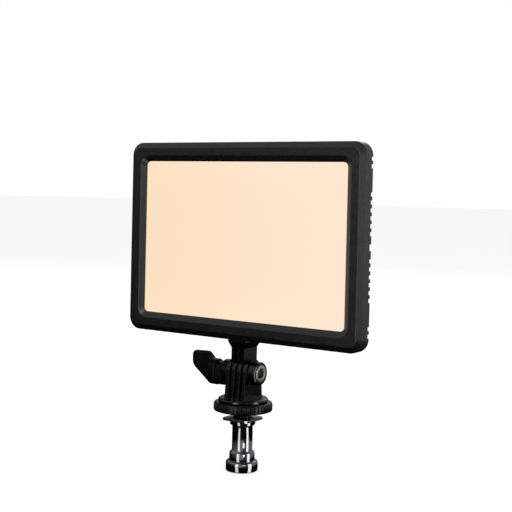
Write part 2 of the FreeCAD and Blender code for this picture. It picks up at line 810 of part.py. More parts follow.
def make_switch():
    """A small rocker switch: at rest it lies in its off position, pressed at the bottom."""
    x, up = d.switch_x, panel_up + d.dial_high
    half_w, half_tall = SWITCH_HALF
    lip, shell = 1.1, 1.0
    hollow_w, hollow_tall = half_w - shell, half_tall - shell
    flange = block("switch_flange", (x - half_w - lip, x + half_w + lip), (d.hump_back, d.hump_back + 1.2),
                   (up - half_tall - lip, up + half_tall + lip))
    case = block("switch_case", (x - half_w, x + half_w), (board_back, d.hump_back),
                 (up - half_tall, up + half_tall))
    hollow = block("switch_hollow", (x - hollow_w, x + hollow_w), (board_back + shell, d.hump_back + 2),
                   (up - hollow_tall, up + hollow_tall))
    pins = rod("switch_pin_bore", "x", 0.85, x - 4.2, x + 4.2, y=ROCKER_AXIS, z=up)
    body = joined("switch_shell", flange, case)
    subpart("switch_body", cut("switch_body", body, hollow, pins))
    rocker = new_body("power_rocker")
    sketch = new_sketch(rocker, "YZ_Plane", -3.2)
    draw_polygon(sketch, [(-2.2, -2.6), (-2.2, 2.6), (1.6, 5.4), (2.7, 5.4),
                          (2.0, 0), (2.7, -5.4), (1.6, -5.4)])
    pad(rocker, sketch, 6.4)
    axle = new_sketch(rocker, "YZ_Plane", -4.1)
    draw_circle(axle, 0.8)
    pad(rocker, axle, 8.2)
    rocker.Placement = Placement(Vector(), Rotation(Vector(1, 0, 0), ROCKER_REST))
    move(rocker, x, ROCKER_AXIS, up)
    subpart("power_rocker", rocker)


def make_jack():
    """A 5.5 mm barrel jack, its mouth flush with the back."""
    x, up = d.jack_x, panel_up + d.dial_low
    base = block("jack_base", (x - 5, x + 5), (board_back, 9.0), (up - 5, up + 5))
    barrel = rod("jack_barrel", "y", d.jack_r + 1.5, 9.0, d.hump_back + 0.3, x=x, z=up)
    bore = rod("jack_bore", "y", d.jack_r, board_back + 1.0, d.hump_back + 1, x=x, z=up)
    subpart("dc_jack", cut("dc_jack", joined("jack_shell", base, barrel), bore))
    profile = [(0, 0), (d.jack_pin_r, 0), (d.jack_pin_r, 6.3), (d.jack_pin_r - 0.5, 7.0), (0, 7.0)]
    subpart("dc_jack_pin", turned("dc_jack_pin", profile, "y", board_back + 1.0, x=x, z=up))


def make_board():
    """The control board and what is soldered to it."""
    board = new_body("control_board")
    outline = new_sketch(board, "XZ_Plane", -board_back)
    draw_rectangle(outline, -66.0, -24.0, 66.0, 36.0)
    pad(board, outline, d.board_t)
    holes = new_sketch(board, "XZ_Plane", -board_back)
    for x, z in BOARD_PLACES:
        draw_circle(holes, d.screw_r + FIT_GAP, x, z)
    pocket(board, holes, d.board_t, reverse=True)
    move(board, z=panel_up)
    subpart("control_board", board)
    pieces = []
    head, tip = 1.0, d.board_t + 5.0
    profile = [(0, 0), (d.screw_head_r, 0), (d.screw_head_r, head), (d.screw_r, head),
               (d.screw_r, tip), (0, tip)]
    for index, (x, z) in enumerate(BOARD_PLACES):
        pieces.append(turned(f"board_screw_{index}", profile, "y", d.board_front - head, x=x, z=panel_up + z))
    subpart("board_screws", group("board_screws", *pieces))
    bobbin = [(0, 0), (4.0, 0), (4.0, 1.0), (3.0, 1.0), (3.0, 4.0), (4.0, 4.0), (4.0, 5.0), (0, 5.0)]
    subpart("power_inductor", turned("power_inductor", bobbin, "y", board_back, x=-30.0, z=panel_up + 8.0))
    cans = []
    for index, x in enumerate((-30.0, -22.0, -14.0)):
        cans.append(rod(f"can_{index}", "y", 3.15, board_back, board_back + 5.8, x=x, z=panel_up - 8.0))
    subpart("filter_capacitors", group("filter_capacitors", *cans))
    chips, half = [], 3.0
    for index, (x, z) in enumerate(((-6.0, 16.0), (8.0, 20.0), (24.0, 20.0))):
        up = (panel_up + z - half, panel_up + z + half)
        chips.append(block(f"chip_{index}", (x - half, x + half), (board_back, board_back + 1.2), up))
    subpart("control_chips", group("control_chips", *chips))


def wire_run(name, radius, spots):
    """A wire that runs smoothly through a few places."""
    curve = Part.BSplineCurve()
    curve.interpolate([Vector(*map(number_of, spot)) for spot in spots])
    start = curve.value(curve.FirstParameter)
    along = curve.tangent(curve.FirstParameter)[0]
    section = Part.Face(Part.Wire(Part.Circle(start, along, radius).toShape()))
    item = doc.addObject("Part::Feature", name)
    item.Shape = Part.Wire(curve.toShape()).makePipe(section)
    return item


def make_wires():
    up = number_of(panel_up)
    runs = []
    for side in (-1, 1):
        runs.append(wire_run(f"led_wire_{side}", 0.5, [
            (side * 64.0, -2.8, up - 44.0), (side * 62.0, -1.4, up - 42.0),
            (side * 58.0, 0.6, up - 33.0), (side * 56.0, number_of(d.board_front) - 0.6, up - 20.0)]))
    subpart("led_wires", group("led_wires", *runs))
    runs = []
    for x in (-1.6, 1.6):
        runs.append(wire_run(f"battery_wire_{x}", 0.6, [
            (2.5 * x, 9.6, up + CONTACT_UP + 1.0), (2.5 * x, 7.6, up + CONTACT_UP + 3.5),
            (2.0 * x, 5.6, up - 19.0), (2.0 * x, number_of(board_back) + 0.6, up - 14.0)]))
    subpart("battery_wires", group("battery_wires", *runs))


# ---------------------------------------------------------------- lit head: battery plate


def make_battery_plate():
    """The plate that a slide-on camcorder battery hooks onto, and its three contacts."""
    low, high = panel_up + d.dock_up - d.dock_tall / 2, panel_up + d.dock_up + d.dock_tall / 2
    base_back, half_w = d.hump_back + d.dock_base_t, d.dock_w / 2
    pieces = [block("dock_base", (-half_w, half_w), (d.hump_back, base_back), (low, high))]
    for side in (-1, 1):
        outer, inner, lip = side * half_w, side * (half_w - DOCK_WALL), side * (half_w - DOCK_WALL - 1.8)
        walls = sorted((outer, inner), key=number_of)
        lips = sorted((inner, lip), key=number_of)
        pieces.append(block(f"dock_wall_{side}", walls, (base_back, d.dock_rail_back), (low, high)))
        for name, start, end in (("low", low + 8, low + 24), ("high", low + 42, low + 60)):
            depth = (d.dock_rail_back - 1.6, d.dock_rail_back)
            pieces.append(block(f"dock_lip_{name}_{side}", lips, depth, (start, end)))
    end_top = low + DOCK_WALL
    pieces.append(block("dock_end", (-half_w, half_w), (base_back, d.dock_rail_back), (low, end_top)))
    pieces.append(block("dock_terminal", (-9.0, 9.0), (base_back, d.dock_rail_back - 0.4),
                        (end_top, end_top + 3.0)))
    tools = [block_around("dock_button_hole", d.button_x, d.button_up, BUTTON_HALF, FIT_GAP,
                          (d.hump_back - 1, d.dock_rail_back + 1))]
    for x in CONTACT_PLACES:
        tools.append(block_around(f"dock_slot_{x}", x, CONTACT_UP, CONTACT_HALF, 0.05,
                                  (d.hump_back - 1, d.dock_rail_back - 2)))
    for index, (x, z) in enumerate(DOCK_SCREW_PLACES):
        up = panel_up + z
        sink_r, sink_floor, beyond = d.screw_head_r + FIT_GAP, base_back - 1, base_back + 1
        tools.append(rod(f"dock_pilot_{index}", "y", d.screw_r, d.hump_back - 1, beyond, x=x, z=up))
        tools.append(rod(f"dock_sink_{index}", "y", sink_r, sink_floor, beyond, x=x, z=up))
    subpart("battery_plate", cut("battery_plate", joined("dock_body", *pieces), *tools))
    screws("battery_plate_screws", DOCK_SCREW_PLACES, base_back - 1, hump_inner - 1)
    blades = []
    for x in CONTACT_PLACES:
        depth = (9.0, d.dock_rail_back - 2.2)
        blades.append(block_around(f"contact_{x}", x, CONTACT_UP, CONTACT_HALF, 0, depth))
    subpart("battery_contacts", group("battery_contacts", *blades))


def make_release_button():
    """The sprung catch that holds the battery, with the pad that is pressed to let it go."""
    x, up = d.button_x, panel_up + d.button_up
    left, right = x - BUTTON_HALF[0], x + BUTTON_HALF[0]
    tall = (up - BUTTON_HALF[1], up + BUTTON_HALF[1])
    flange_front = hump_inner - 1.5
    flange_back = hump_inner - FIT_GAP
    bar = block("button_bar", (left, right), (flange_back, d.hump_back + d.dock_base_t), tall)
    pad_block = block("button_pad", (right - 6, right), (d.hump_back, BUTTON_BACK), tall)
    catch = block("button_catch", (left, left + 4), (d.hump_back, BUTTON_BACK), (tall[0], tall[0] + 3.0))
    flange = block_around("button_flange", x, d.button_up, CUP_HALF, -0.2, (flange_front, flange_back))
    subpart("release_button", joined("release_button", bar, pad_block, catch, flange))
    coil_r, wire_r, turns, steps = 2.6, 0.3, 4, 16
    start, end = number_of(cup_floor) + wire_r + 0.01, number_of(flange_front) - wire_r - 0.01
    spots = []
    for step in range(turns * steps + 1):
        angle = 2 * math.pi * step / steps
        across, rise = coil_r * math.cos(angle), coil_r * math.sin(angle)
        spots.append((x + across, start + (end - start) * step / (turns * steps), up + rise))
    subpart("latch_spring", wire_run("latch_spring", wire_r, spots))


# ---------------------------------------------------------------- tilt head


def prong_places(count):
    return [(index - (count - 1) / 2) * d.prong_pitch for index in range(count)]


def make_tilt_bracket():
    """Three prongs under the lit head, cut from one block that flares out against the head."""
    half = d.prong_pitch + d.bracket_prong / 2
    r, up = d.bracket_r, d.pivot_up
    flare_up, flare_tall, flare_out = d.panel_bottom - 5.0, 4.0, 1.7
    pieces = [block("bracket_block", (-half, half), (-r, r), (up, d.panel_bottom))]
    pieces.append(rod("bracket_eye", "x", r, -half, half, z=up))
    flare = doc.addObject("Part::Wedge", "bracket_flare")
    flare.Placement = Placement(Vector(), Rotation(Vector(1, 0, 0), 90))
    bind(flare, Xmin=-half, Xmax=half, Zmin=-r, Zmax=r, X2min=-half - flare_out, X2max=half + flare_out,
         Z2min=-r - flare_out, Z2max=r + flare_out, Ymin=0, Ymax=flare_tall)
    move(flare, z=flare_up)
    pieces.append(flare)
    pieces.append(block("bracket_cap", (-half - flare_out, half + flare_out), (-r - flare_out, r + flare_out),
                        (flare_up + flare_tall, d.panel_bottom)))
    tools = []
    gap = (d.prong_pitch - d.bracket_prong) / 2
    for index, x in enumerate(prong_places(2)):
        across = (x - gap, x + gap)
        tools.append(block(f"bracket_gap_{index}", across, (-r - 5, r + 5), (up - r - 1, d.bracket_slot_top)))
    tools.append(rod("bracket_bore", "x", d.bolt_bore_r, -half - 1, half + 1, z=up))
    stud_low, stud_top = d.bracket_slot_top, d.panel_bottom + d.boss_tall - 1.2
    tools.append(rod("bracket_stud_bore", "z", d.stud_r, stud_low - 1, d.panel_bottom + 1, y=INSERT_DEPTH))
    subpart("tilt_bracket", cut("tilt_bracket", joined("bracket_body", *pieces), *tools))
    subpart("bracket_stud", rod("bracket_stud", "z", d.stud_r, stud_low, stud_top, y=INSERT_DEPTH))
    low, high = d.panel_bottom + 0.2, d.panel_bottom + d.boss_tall - 0.2
    outer = rod("insert_outer", "z", INSERT_R, low, high, y=INSERT_DEPTH)
    bore = rod("insert_bore", "z", d.stud_r, low - 1, high + 1, y=INSERT_DEPTH)
    subpart("threaded_insert", cut("threaded_insert", outer, bore))


def make_tilt_fork():
    """Four prongs on a round flange, with a boss that holds the nut."""
    up, half = d.pivot_up, fork_half
    cheek = new_body("fork_cheek")
    side = new_sketch(cheek, "YZ_Plane", -half)
    base, top = d.fork_base_half, d.fork_r
    draw_polygon(side, [(-base, d.fork_base), (base, d.fork_base), (top, up), (-top, up)])
    pad(cheek, side, 2 * half)
    r, low, high = d.flange_r, d.flange_bottom, d.fork_base
    flange = turned("fork_flange", [(0, low), (r - 0.6, low), (r, low + 0.6), (r, high - 1.1),
                                    (r - 0.35, high - 0.4), (r - 1.1, high), (0, high)])
    r, long = d.boss_r, d.boss_end - half
    profile = [(0, 0), (r, 0), (r, long - 0.9), (r - 0.3, long - 0.3), (r - 0.9, long), (0, long)]
    boss = turned("fork_boss", profile, "x", half, z=up)
    pieces = [cheek, flange, rod("fork_eye", "x", d.fork_r, -half, half, z=up), boss]
    tools = []
    gap = (d.prong_pitch - d.fork_prong) / 2
    for index, x in enumerate(prong_places(3)):
        tools.append(block(f"fork_gap_{index}", (x - gap, x + gap), (-15.0, 15.0), (d.fork_floor, up + 15)))
    tools.append(rod("fork_bore", "x", d.bolt_bore_r, -half - 1, half + 1, z=up))
    tools.append(hexagon("fork_nut_pocket", d.nut_flats + 0.1, half, d.boss_end + 1, up))
    tools.append(rod("fork_stem_bore", "z", d.stem_r - 1, low - 1, STEM_TOP + 0.2))
    subpart("tilt_fork", cut("tilt_fork", joined("fork_body", *pieces), *tools))


def make_nut():
    """The nut in the fork's boss, with its outer corners turned off."""
    up, half = d.pivot_up, fork_half
    nut_end = d.boss_end + 0.2
    long, corner = nut_end - half, d.nut_flats * 0.59
    hexagonal = hexagon("nut_hexagon", d.nut_flats, half, nut_end, up)
    profile = [(0, 0), (corner, 0), (corner, long - 0.7), (corner - 0.7, long), (0, long)]
    corners = turned("nut_corners", profile, "x", half, z=up)
    faced = doc.addObject("Part::Common", "nut_faced")
    faced.Base, faced.Tool = hexagonal, corners
    bore = rod("nut_bore", "x", d.bolt_r + 0.05, half - 1, nut_end + 1, z=up)
    subpart("tilt_nut", cut("tilt_nut", faced, bore))


def make_bolt():
    """The bolt that the lever turns, and the washer under the lever."""
    up, r = d.pivot_up, d.bolt_r
    long = d.boss_end + 0.9 - BOLT_HEAD
    profile = [(0, 0), (r, 0), (r, long - 0.5), (r - 0.5, long), (0, long)]
    subpart("tilt_bolt", turned("tilt_bolt", profile, "x", BOLT_HEAD, z=up))
    inner, outer = r + 0.05, 2 * r
    washer = turned("tilt_washer", [(inner, 0), (outer, 0), (outer, d.washer_t), (inner, d.washer_t)],
                    "x", -fork_half - d.washer_t, z=up)
    subpart("tilt_washer", washer)


def make_lever():
    """The thumb lever: a curved blade on a stepped hub that grips the bolt."""
    lever = new_body("lever_knob")
    half_t = d.lever_blade_t / 2
    blade = new_sketch(lever, "XZ_Plane", -half_t)
    draw_polygon(blade, [(-38.6, 10.0), (-27.4, 10.3), (-23.3, d.lever_hub_top), (BOLT_HEAD, 0), (-21, -9.6),
                         (-25.3, -10.0), (-31.6, -5.8), (-37.6, -0.6), (-39.7, 5.6)])
    pad(lever, blade, d.lever_blade_t)
    beyond_hub = number_of(d.lever_hub_start) - 0.2
    round_edges(lever, lambda point: point.x < beyond_hub, 1.2)
    hub = new_sketch(lever, "YZ_Plane", d.lever_hub_start)
    draw_stadium(hub, d.lever_hub_r, d.lever_hub_top - d.lever_hub_r, d.lever_hub_bottom + d.lever_hub_r)
    pad(lever, hub, d.lever_hub_end - d.lever_hub_start)
    round_edges(lever, lambda point: abs(point.x - number_of(d.lever_hub_end)) < 1e-4, 0.8)
    overlap = 1.0
    collar = new_sketch(lever, "YZ_Plane", d.lever_hub_end - overlap)
    draw_stadium(collar, d.lever_collar_r, 0, d.lever_hub_bottom + d.lever_collar_r)
    pad(lever, collar, d.lever_collar_end - d.lever_hub_end + overlap)
    shoulder = new_sketch(lever, "YZ_Plane", d.lever_collar_end)
    draw_circle(shoulder, d.lever_shoulder_r)
    pad(lever, shoulder, -fork_half - d.washer_t - d.lever_collar_end)
    bore = new_sketch(lever, "YZ_Plane", BOLT_HEAD)
    draw_circle(bore, d.bolt_r)
    pocket(lever, bore, -BOLT_HEAD, reverse=True)
    move(lever, z=d.pivot_up)
    subpart("lever_knob", lever)


# ---------------------------------------------------------------- foot and spigot


def make_foot():
    """The metal shoe foot with its stem, and the ribbed ring that locks it in a shoe."""
    foot = new_body("foot_plate")
    outline = new_sketch(foot, "XY_Plane")
    draw_rounded(outline, d.foot_w, d.foot_w, 1.0)
    pad(foot, outline, d.foot_t)
    top = d.foot_bottom + d.foot_t
    stem = rod("foot_stem", "z", d.stem_r, top - 0.5, d.flange_bottom)
    tenon = rod("foot_tenon", "z", d.stem_r - 1, d.flange_bottom - 0.5, STEM_TOP)
    bore = rod("foot_bore", "z", d.foot_bore_r, d.foot_bottom - 1, STEM_TOP - 2.0)
    move(foot, z=d.foot_bottom)
    subpart("shoe_foot", cut("shoe_foot", joined("foot_body", foot, stem, tenon), bore))
    tall = d.ring_top - d.ring_bottom
    r = d.ring_r
    profile = [(d.ring_bore_r, 0), (r - 0.8, 0), (r, 0.8), (r, tall - 1.3), (r - 0.4, tall - 0.4),
               (r - 1.3, tall), (d.ring_bore_r, tall)]
    ring = turned("lock_ring", profile, start=d.ring_bottom)
    ribbed(ring, r, d.ring_ribs, 0.8, 0.5, 0, tall)
    subpart("lock_ring", ring)
    pad_ring = turned("ring_washer", [(d.ring_bore_r, 0), (9.5, 0), (9.5, 0.8), (d.ring_bore_r, 0.8)],
                      start=d.ring_bottom - 0.8)
    subpart("ring_washer", pad_ring)


def make_spigot():
    """The stand spigot: a turned stud with a groove for the stand's clamp screw."""
    r, neck, base = d.spigot_r, d.spigot_neck_r, d.spigot_base_r
    neck_low, neck_high = d.spigot_neck_bottom, d.spigot_flange_bottom
    step, top = d.spigot_base_top, d.spigot_top
    stud_start = top - STUD_GRIP
    profile = [(d.socket_r, 0), (base - 0.8, 0), (base, 0.8), (base, step - 1.2), (base - 0.4, step - 0.4),
               (base - 1.2, step), (r, step), (r, neck_low - 1.5), (neck, neck_low), (neck, neck_high - 0.7),
               (r - 0.6, neck_high), (r, neck_high + 0.6), (r, top - 0.4), (r - 0.4, top), (d.stud_r, top),
               (d.stud_r, stud_start), (0, stud_start), (0, d.socket_deep), (d.socket_r, d.socket_deep)]
    subpart("stand_spigot", turned("stand_spigot", profile))
    long = 2 * STUD_GRIP
    profile = [(0, 0), (d.stud_r, 0), (d.stud_r, long - 0.6), (d.stud_r - 0.6, long), (0, long)]
    subpart("spigot_stud", turned("spigot_stud", profile, start=stud_start))


# ---------------------------------------------------------------- build and write


def check_and_write():
    """Refuse a failed object or a bad shape, then write one STEP file for each sub-part."""
    doc.recompute()
    for item in doc.Objects:
        if {"Invalid", "Error"} & set(item.State):
            raise RuntimeError(f"{item.Name} is {item.State}")
    for item in SUBPARTS:
        if item.Shape.isNull() or not item.Shape.isValid() or not item.Shape.Solids:
            raise RuntimeError(f"{item.Label} has no valid solid")
    os.makedirs("parts", exist_ok=True)
    for item in SUBPARTS:
        item.Shape.exportStep(f"parts/{item.Label}.step")


make_front_bezel()
make_rear_housing()
make_optics()
make_led_strips()
make_board()
make_dial("brightness", d.dial_high)
make_dial("colour", d.dial_low)
make_switch()
make_jack()
make_wires()
make_battery_plate()
make_release_button()
make_tilt_bracket()
make_tilt_fork()
make_nut()
make_bolt()
make_lever()
make_foot()
make_spigot()
check_and_write()
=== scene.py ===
"""Looks of the LED panel light: materials, modelled detail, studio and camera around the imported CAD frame."""
import json
import math

import bmesh
import bpy
from mathutils import Matrix, Vector


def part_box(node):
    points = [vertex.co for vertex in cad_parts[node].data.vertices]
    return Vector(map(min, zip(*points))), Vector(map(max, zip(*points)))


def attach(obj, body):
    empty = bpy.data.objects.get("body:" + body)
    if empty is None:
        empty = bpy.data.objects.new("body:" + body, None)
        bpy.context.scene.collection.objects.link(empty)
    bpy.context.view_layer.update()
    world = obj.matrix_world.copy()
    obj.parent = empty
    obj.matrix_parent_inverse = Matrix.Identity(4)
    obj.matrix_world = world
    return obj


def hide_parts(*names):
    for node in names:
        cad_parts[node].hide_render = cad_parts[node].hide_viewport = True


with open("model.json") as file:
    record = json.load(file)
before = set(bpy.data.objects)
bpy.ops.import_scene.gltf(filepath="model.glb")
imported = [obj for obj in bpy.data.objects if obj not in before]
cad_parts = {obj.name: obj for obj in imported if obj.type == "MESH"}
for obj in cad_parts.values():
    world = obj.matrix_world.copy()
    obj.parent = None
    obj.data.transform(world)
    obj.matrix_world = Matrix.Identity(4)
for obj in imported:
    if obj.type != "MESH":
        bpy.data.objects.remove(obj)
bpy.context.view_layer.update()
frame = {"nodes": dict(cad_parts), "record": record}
MM = 0.001


# ---------------------------------------------------------------- node helpers


def add_node(tree, kind, **settings):
    """A new node in a tree, with its settings."""
    node = tree.nodes.new(kind)
    for name, value in settings.items():
        setattr(node, name, value)
    return node


class Shader:
    """A material's node tree, with short calls for the nodes used here."""

    def __init__(self, name):
        self.material = bpy.data.materials.new(name)
        self.material.use_nodes = True
        self.tree = self.material.node_tree
        self.tree.nodes.clear()
        self.surface = self.add("ShaderNodeBsdfPrincipled")
        self.output = self.add("ShaderNodeOutputMaterial")
        self.join(self.surface, "BSDF", self.output, "Surface")
        self.place = self.add("ShaderNodeTexCoord").outputs["Object"]

    def add(self, kind, **settings):
        """A new node of a kind, with its settings."""
        return add_node(self.tree, kind, **settings)

    def join(self, node, output, target, socket):
        """Link a node's named output to another node's named input."""
        self.tree.links.new(node.outputs[output], target.inputs[socket])

    def feed(self, socket, value):
        """Give a socket a value or another node's output."""
        if isinstance(value, bpy.types.NodeSocket):
            self.tree.links.new(value, socket)
        else:
            socket.default_value = value

    def set(self, **values):
        """Set inputs of the surface shader; an underscore stands for a space."""
        for name, value in values.items():
            self.feed(self.surface.inputs[name.replace("_", " ")], value)

    def noise(self, size, detail=3.0, rough=0.55, stretch=(1, 1, 1)):
        """Noise whose features are about size metres wide."""
        mapping = self.add("ShaderNodeMapping")
        mapping.inputs["Scale"].default_value = stretch
        self.feed(mapping.inputs["Vector"], self.place)
        node = self.add("ShaderNodeTexNoise")
        self.feed(node.inputs["Vector"], mapping.outputs["Vector"])
        node.inputs["Scale"].default_value = 1.0 / size
        node.inputs["Detail"].default_value = detail
        node.inputs["Roughness"].default_value = rough
        return node.outputs["Fac"]

    def cells(self, size):
        """Distance to the nearest of many scattered points, about size metres apart."""
        node = self.add("ShaderNodeTexVoronoi", feature="F1")
        self.feed(node.inputs["Vector"], self.place)
        node.inputs["Scale"].default_value = 1.0 / size
        return node.outputs["Distance"]

    def remap(self, value, low, high, out_low, out_high):
        """Stretch the range from low to high onto another range, and clamp to it."""
        node = self.add("ShaderNodeMapRange")
        for socket, number in zip(list(node.inputs)[1:5], (low, high, out_low, out_high)):
            socket.default_value = number
        self.feed(node.inputs[0], value)
        return node.outputs[0]

    def math(self, operation, first, second=0.0, clamp=False):
        """One arithmetic step."""
        node = self.add("ShaderNodeMath", operation=operation, use_clamp=clamp)
        self.feed(node.inputs[0], first)
        self.feed(node.inputs[1], second)
        return node.outputs[0]

    def mix(self, factor, first, second):
        """Blend two colours."""
        node = self.add("ShaderNodeMix", data_type="RGBA")
        self.feed(node.inputs["Factor"], factor)
        self.feed(node.inputs[6], first)
        self.feed(node.inputs[7], second)
        return node.outputs[2]

    def soft_normal(self, radius):
        """Normals that round off sharp edges, as a mould's edges are."""
        node = self.add("ShaderNodeBevel", samples=6)
        node.inputs["Radius"].default_value = radius
        return node.outputs["Normal"]

    def edge_mask(self, radius, gain=3.0):
        """1 along sharp edges and 0 on faces."""
        flat = self.add("ShaderNodeNewGeometry").outputs["Normal"]
        dot = self.add("ShaderNodeVectorMath", operation="DOT_PRODUCT")
        self.feed(dot.inputs[0], self.soft_normal(radius))
        self.feed(dot.inputs[1], flat)
        return self.math("MULTIPLY", self.math("SUBTRACT", 1.0, dot.outputs["Value"]), gain, clamp=True)

    def bump(self, height, depth, normal=None):
        """Normals tilted by a height pattern that is depth metres deep."""
        node = self.add("ShaderNodeBump")
        node.inputs["Strength"].default_value = 1.0
        node.inputs["Distance"].default_value = depth
        self.feed(node.inputs["Height"], height)
        if normal is not None:
            self.feed(node.inputs["Normal"], normal)
        return node.outputs["Normal"]


def rgb(red, green, blue):
    """A colour given as the eye sees it (0 to 255), made linear."""
    def linear(value):
        value /= 255
        return value / 12.92 if value <= 0.04045 else ((value + 0.055) / 1.055) ** 2.4
    return (linear(red), linear(green), linear(blue), 1.0)


# ---------------------------------------------------------------- materials


DUST = (0.09, 0.088, 0.085, 1)
# Near-black colour a metal takes above a height; on the foot it darkens the stem between the plate and the lock
# ring.
NEAR_BLACK = (0.02, 0.02, 0.021, 1)


def moulded(name, colour, roughness, grain=0.35 * MM, depth=0.012 * MM, wear=0.5, edge=0.35 * MM, shine=0.5):
    """Moulded plastic: fine spark-eroded grain, slow gloss changes, and edges rubbed shiny."""
    s = Shader(name)
    slow = s.noise(14 * MM, 4)
    handled = s.noise(5 * MM, 6, 0.65)
    mask = s.edge_mask(edge)
    worn = s.math("MULTIPLY", mask, s.remap(handled, 0.42, 0.62, 0.15, wear), clamp=True)
    lighter = tuple(min(1.0, c * 2.6 + 0.004) for c in colour[:3]) + (1.0,)
    shade = s.mix(s.remap(slow, 0.3, 0.7, 0.0, 0.25), colour, tuple(c * 1.35 for c in colour[:3]) + (1.0,))
    s.set(Base_Color=s.mix(worn, shade, lighter))
    gloss = s.remap(handled, 0.3, 0.7, roughness - 0.05, roughness + 0.07)
    s.set(Roughness=s.math("SUBTRACT", gloss, s.math("MULTIPLY", worn, 0.12)))
    s.set(Specular_IOR_Level=shine)
    grainy = s.math("ADD", s.noise(grain, 2), s.math("MULTIPLY", s.cells(grain * 1.6), 0.6))
    s.set(Normal=s.bump(grainy, depth, s.soft_normal(edge)))
    return s.material


def polished(name, colour, roughness, coat=0.6, edge=0.3 * MM):
    """Glossy plastic or lacquer with faint ripples, dust and hairline scratches."""
    s = Shader(name)
    dust = s.noise(0.5 * MM, 5, 0.75)
    scratches = s.noise(0.25 * MM, 2, 0.4, stretch=(1, 1, 0.06))
    s.set(Base_Color=s.mix(s.remap(dust, 0.62, 0.8, 0.0, 0.35), colour, DUST))
    s.set(Roughness=s.remap(s.math("ADD", dust, s.math("MULTIPLY", scratches, 0.5)), 0.5, 1.1,
                            roughness, roughness + 0.14))
    s.set(Coat_Weight=coat, Coat_Roughness=roughness * 0.7)
    s.set(Normal=s.bump(s.noise(3 * MM, 2), 0.006 * MM, s.soft_normal(edge)))
    return s.material


def metal(name, colour, roughness, brush=(1, 1, 1), pits=0.0, edge=0.2 * MM, spread=0.1, black_above=None):
    """Metal with brushing along one direction, stains and small pits, near-black above a height if asked."""
    s = Shader(name)
    stain = s.noise(4 * MM, 5, 0.6)
    lines = s.noise(0.18 * MM, 3, 0.5, stretch=brush)
    mask = s.edge_mask(edge)
    dark = tuple(c * 0.62 for c in colour[:3]) + (1.0,)
    bright = tuple(min(1.0, c * 1.25 + 0.03) for c in colour[:3]) + (1.0,)
    body = s.mix(s.remap(stain, 0.35, 0.7, 0.0, 0.6), colour, dark)
    surface = s.mix(s.math("MULTIPLY", mask, 0.6), body, bright)
    # Above the height the colour is near-black; on the foot this darkens the stem under the lock ring.
    if black_above is not None:
        split = s.add("ShaderNodeSeparateXYZ")
        s.feed(split.inputs[0], s.place)
        upper = s.math("GREATER_THAN", split.outputs["Z"], black_above)
        surface = s.mix(upper, surface, NEAR_BLACK)
    s.set(Base_Color=surface, Metallic=1.0)
    uneven = s.math("ADD", lines, stain)
    s.set(Roughness=s.remap(uneven, 0.7, 1.3, roughness - spread * 0.8, roughness + spread))
    height = s.math("ADD", lines, s.math("MULTIPLY", s.remap(s.cells(0.6 * MM), 0.0, 0.3, -1.0, 0.0), pits))
    s.set(Normal=s.bump(height, 0.1 * spread * MM, s.soft_normal(edge)))
    return s.material


def lit_diffuser():
    """The lit window: warm light, a little stronger near the LED strips, on frosted acrylic."""
    s = Shader("diffuser")
    split = s.add("ShaderNodeSeparateXYZ")
    s.feed(split.inputs[0], s.place)
    low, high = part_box("diffuser_panel")
    centre, half = (low.z + high.z) / 2, (high.z - low.z) / 2
    across = s.remap(split.outputs["X"], low.x, high.x, 0.0, 1.0)
    offset = s.math("DIVIDE", s.math("SUBTRACT", split.outputs["Z"], centre), half)
    rise = s.math("POWER", s.math("ABSOLUTE", offset), 4.0)
    tint = s.mix(across, rgb(254, 225, 194), rgb(255, 230, 208))
    frost = s.remap(s.noise(0.4 * MM, 4, 0.7), 0.3, 0.7, 0.985, 1.015)
    s.set(Base_Color=(0.02, 0.02, 0.02, 1), Specular_IOR_Level=0.1, Roughness=0.7, Emission_Color=tint)
    s.set(Emission_Strength=s.math("MULTIPLY", frost, s.math("ADD", 0.97, s.math("MULTIPLY", rise, 0.03))))
    s.set(Normal=s.bump(s.noise(0.3 * MM, 3), 0.01 * MM))
    return s.material


def clear_sheet(name, colour, roughness):
    """Clear acrylic or film with a faint surface pattern."""
    s = Shader(name)
    s.set(Base_Color=colour, Roughness=s.remap(s.noise(1 * MM, 3), 0.3, 0.7, roughness, roughness + 0.1))
    s.set(Transmission_Weight=0.6, IOR=1.49, Normal=s.bump(s.cells(0.8 * MM), 0.01 * MM))
    return s.material


def board(name, colour):
    """Solder mask over copper tracks."""
    s = Shader(name)
    tracks = s.add("ShaderNodeTexBrick")
    s.feed(tracks.inputs["Vector"], s.place)
    tracks.inputs["Scale"].default_value = 260.0
    tracks.inputs["Mortar Size"].default_value = 0.03
    paler = tuple(min(1.0, c * 1.7 + 0.01) for c in colour[:3]) + (1.0,)
    s.set(Base_Color=s.mix(tracks.outputs["Fac"], colour, paler))
    s.set(Roughness=s.remap(s.noise(2 * MM), 0.3, 0.7, 0.25, 0.4))
    s.set(Normal=s.bump(tracks.outputs["Fac"], 0.03 * MM))
    return s.material


def glowing(name, colour, strength):
    """A lit LED, slightly uneven."""
    s = Shader(name)
    s.set(Base_Color=colour, Emission_Color=colour, Roughness=0.4)
    s.set(Emission_Strength=s.remap(s.noise(0.5 * MM), 0.3, 0.7, strength * 0.9, strength * 1.1))
    return s.material


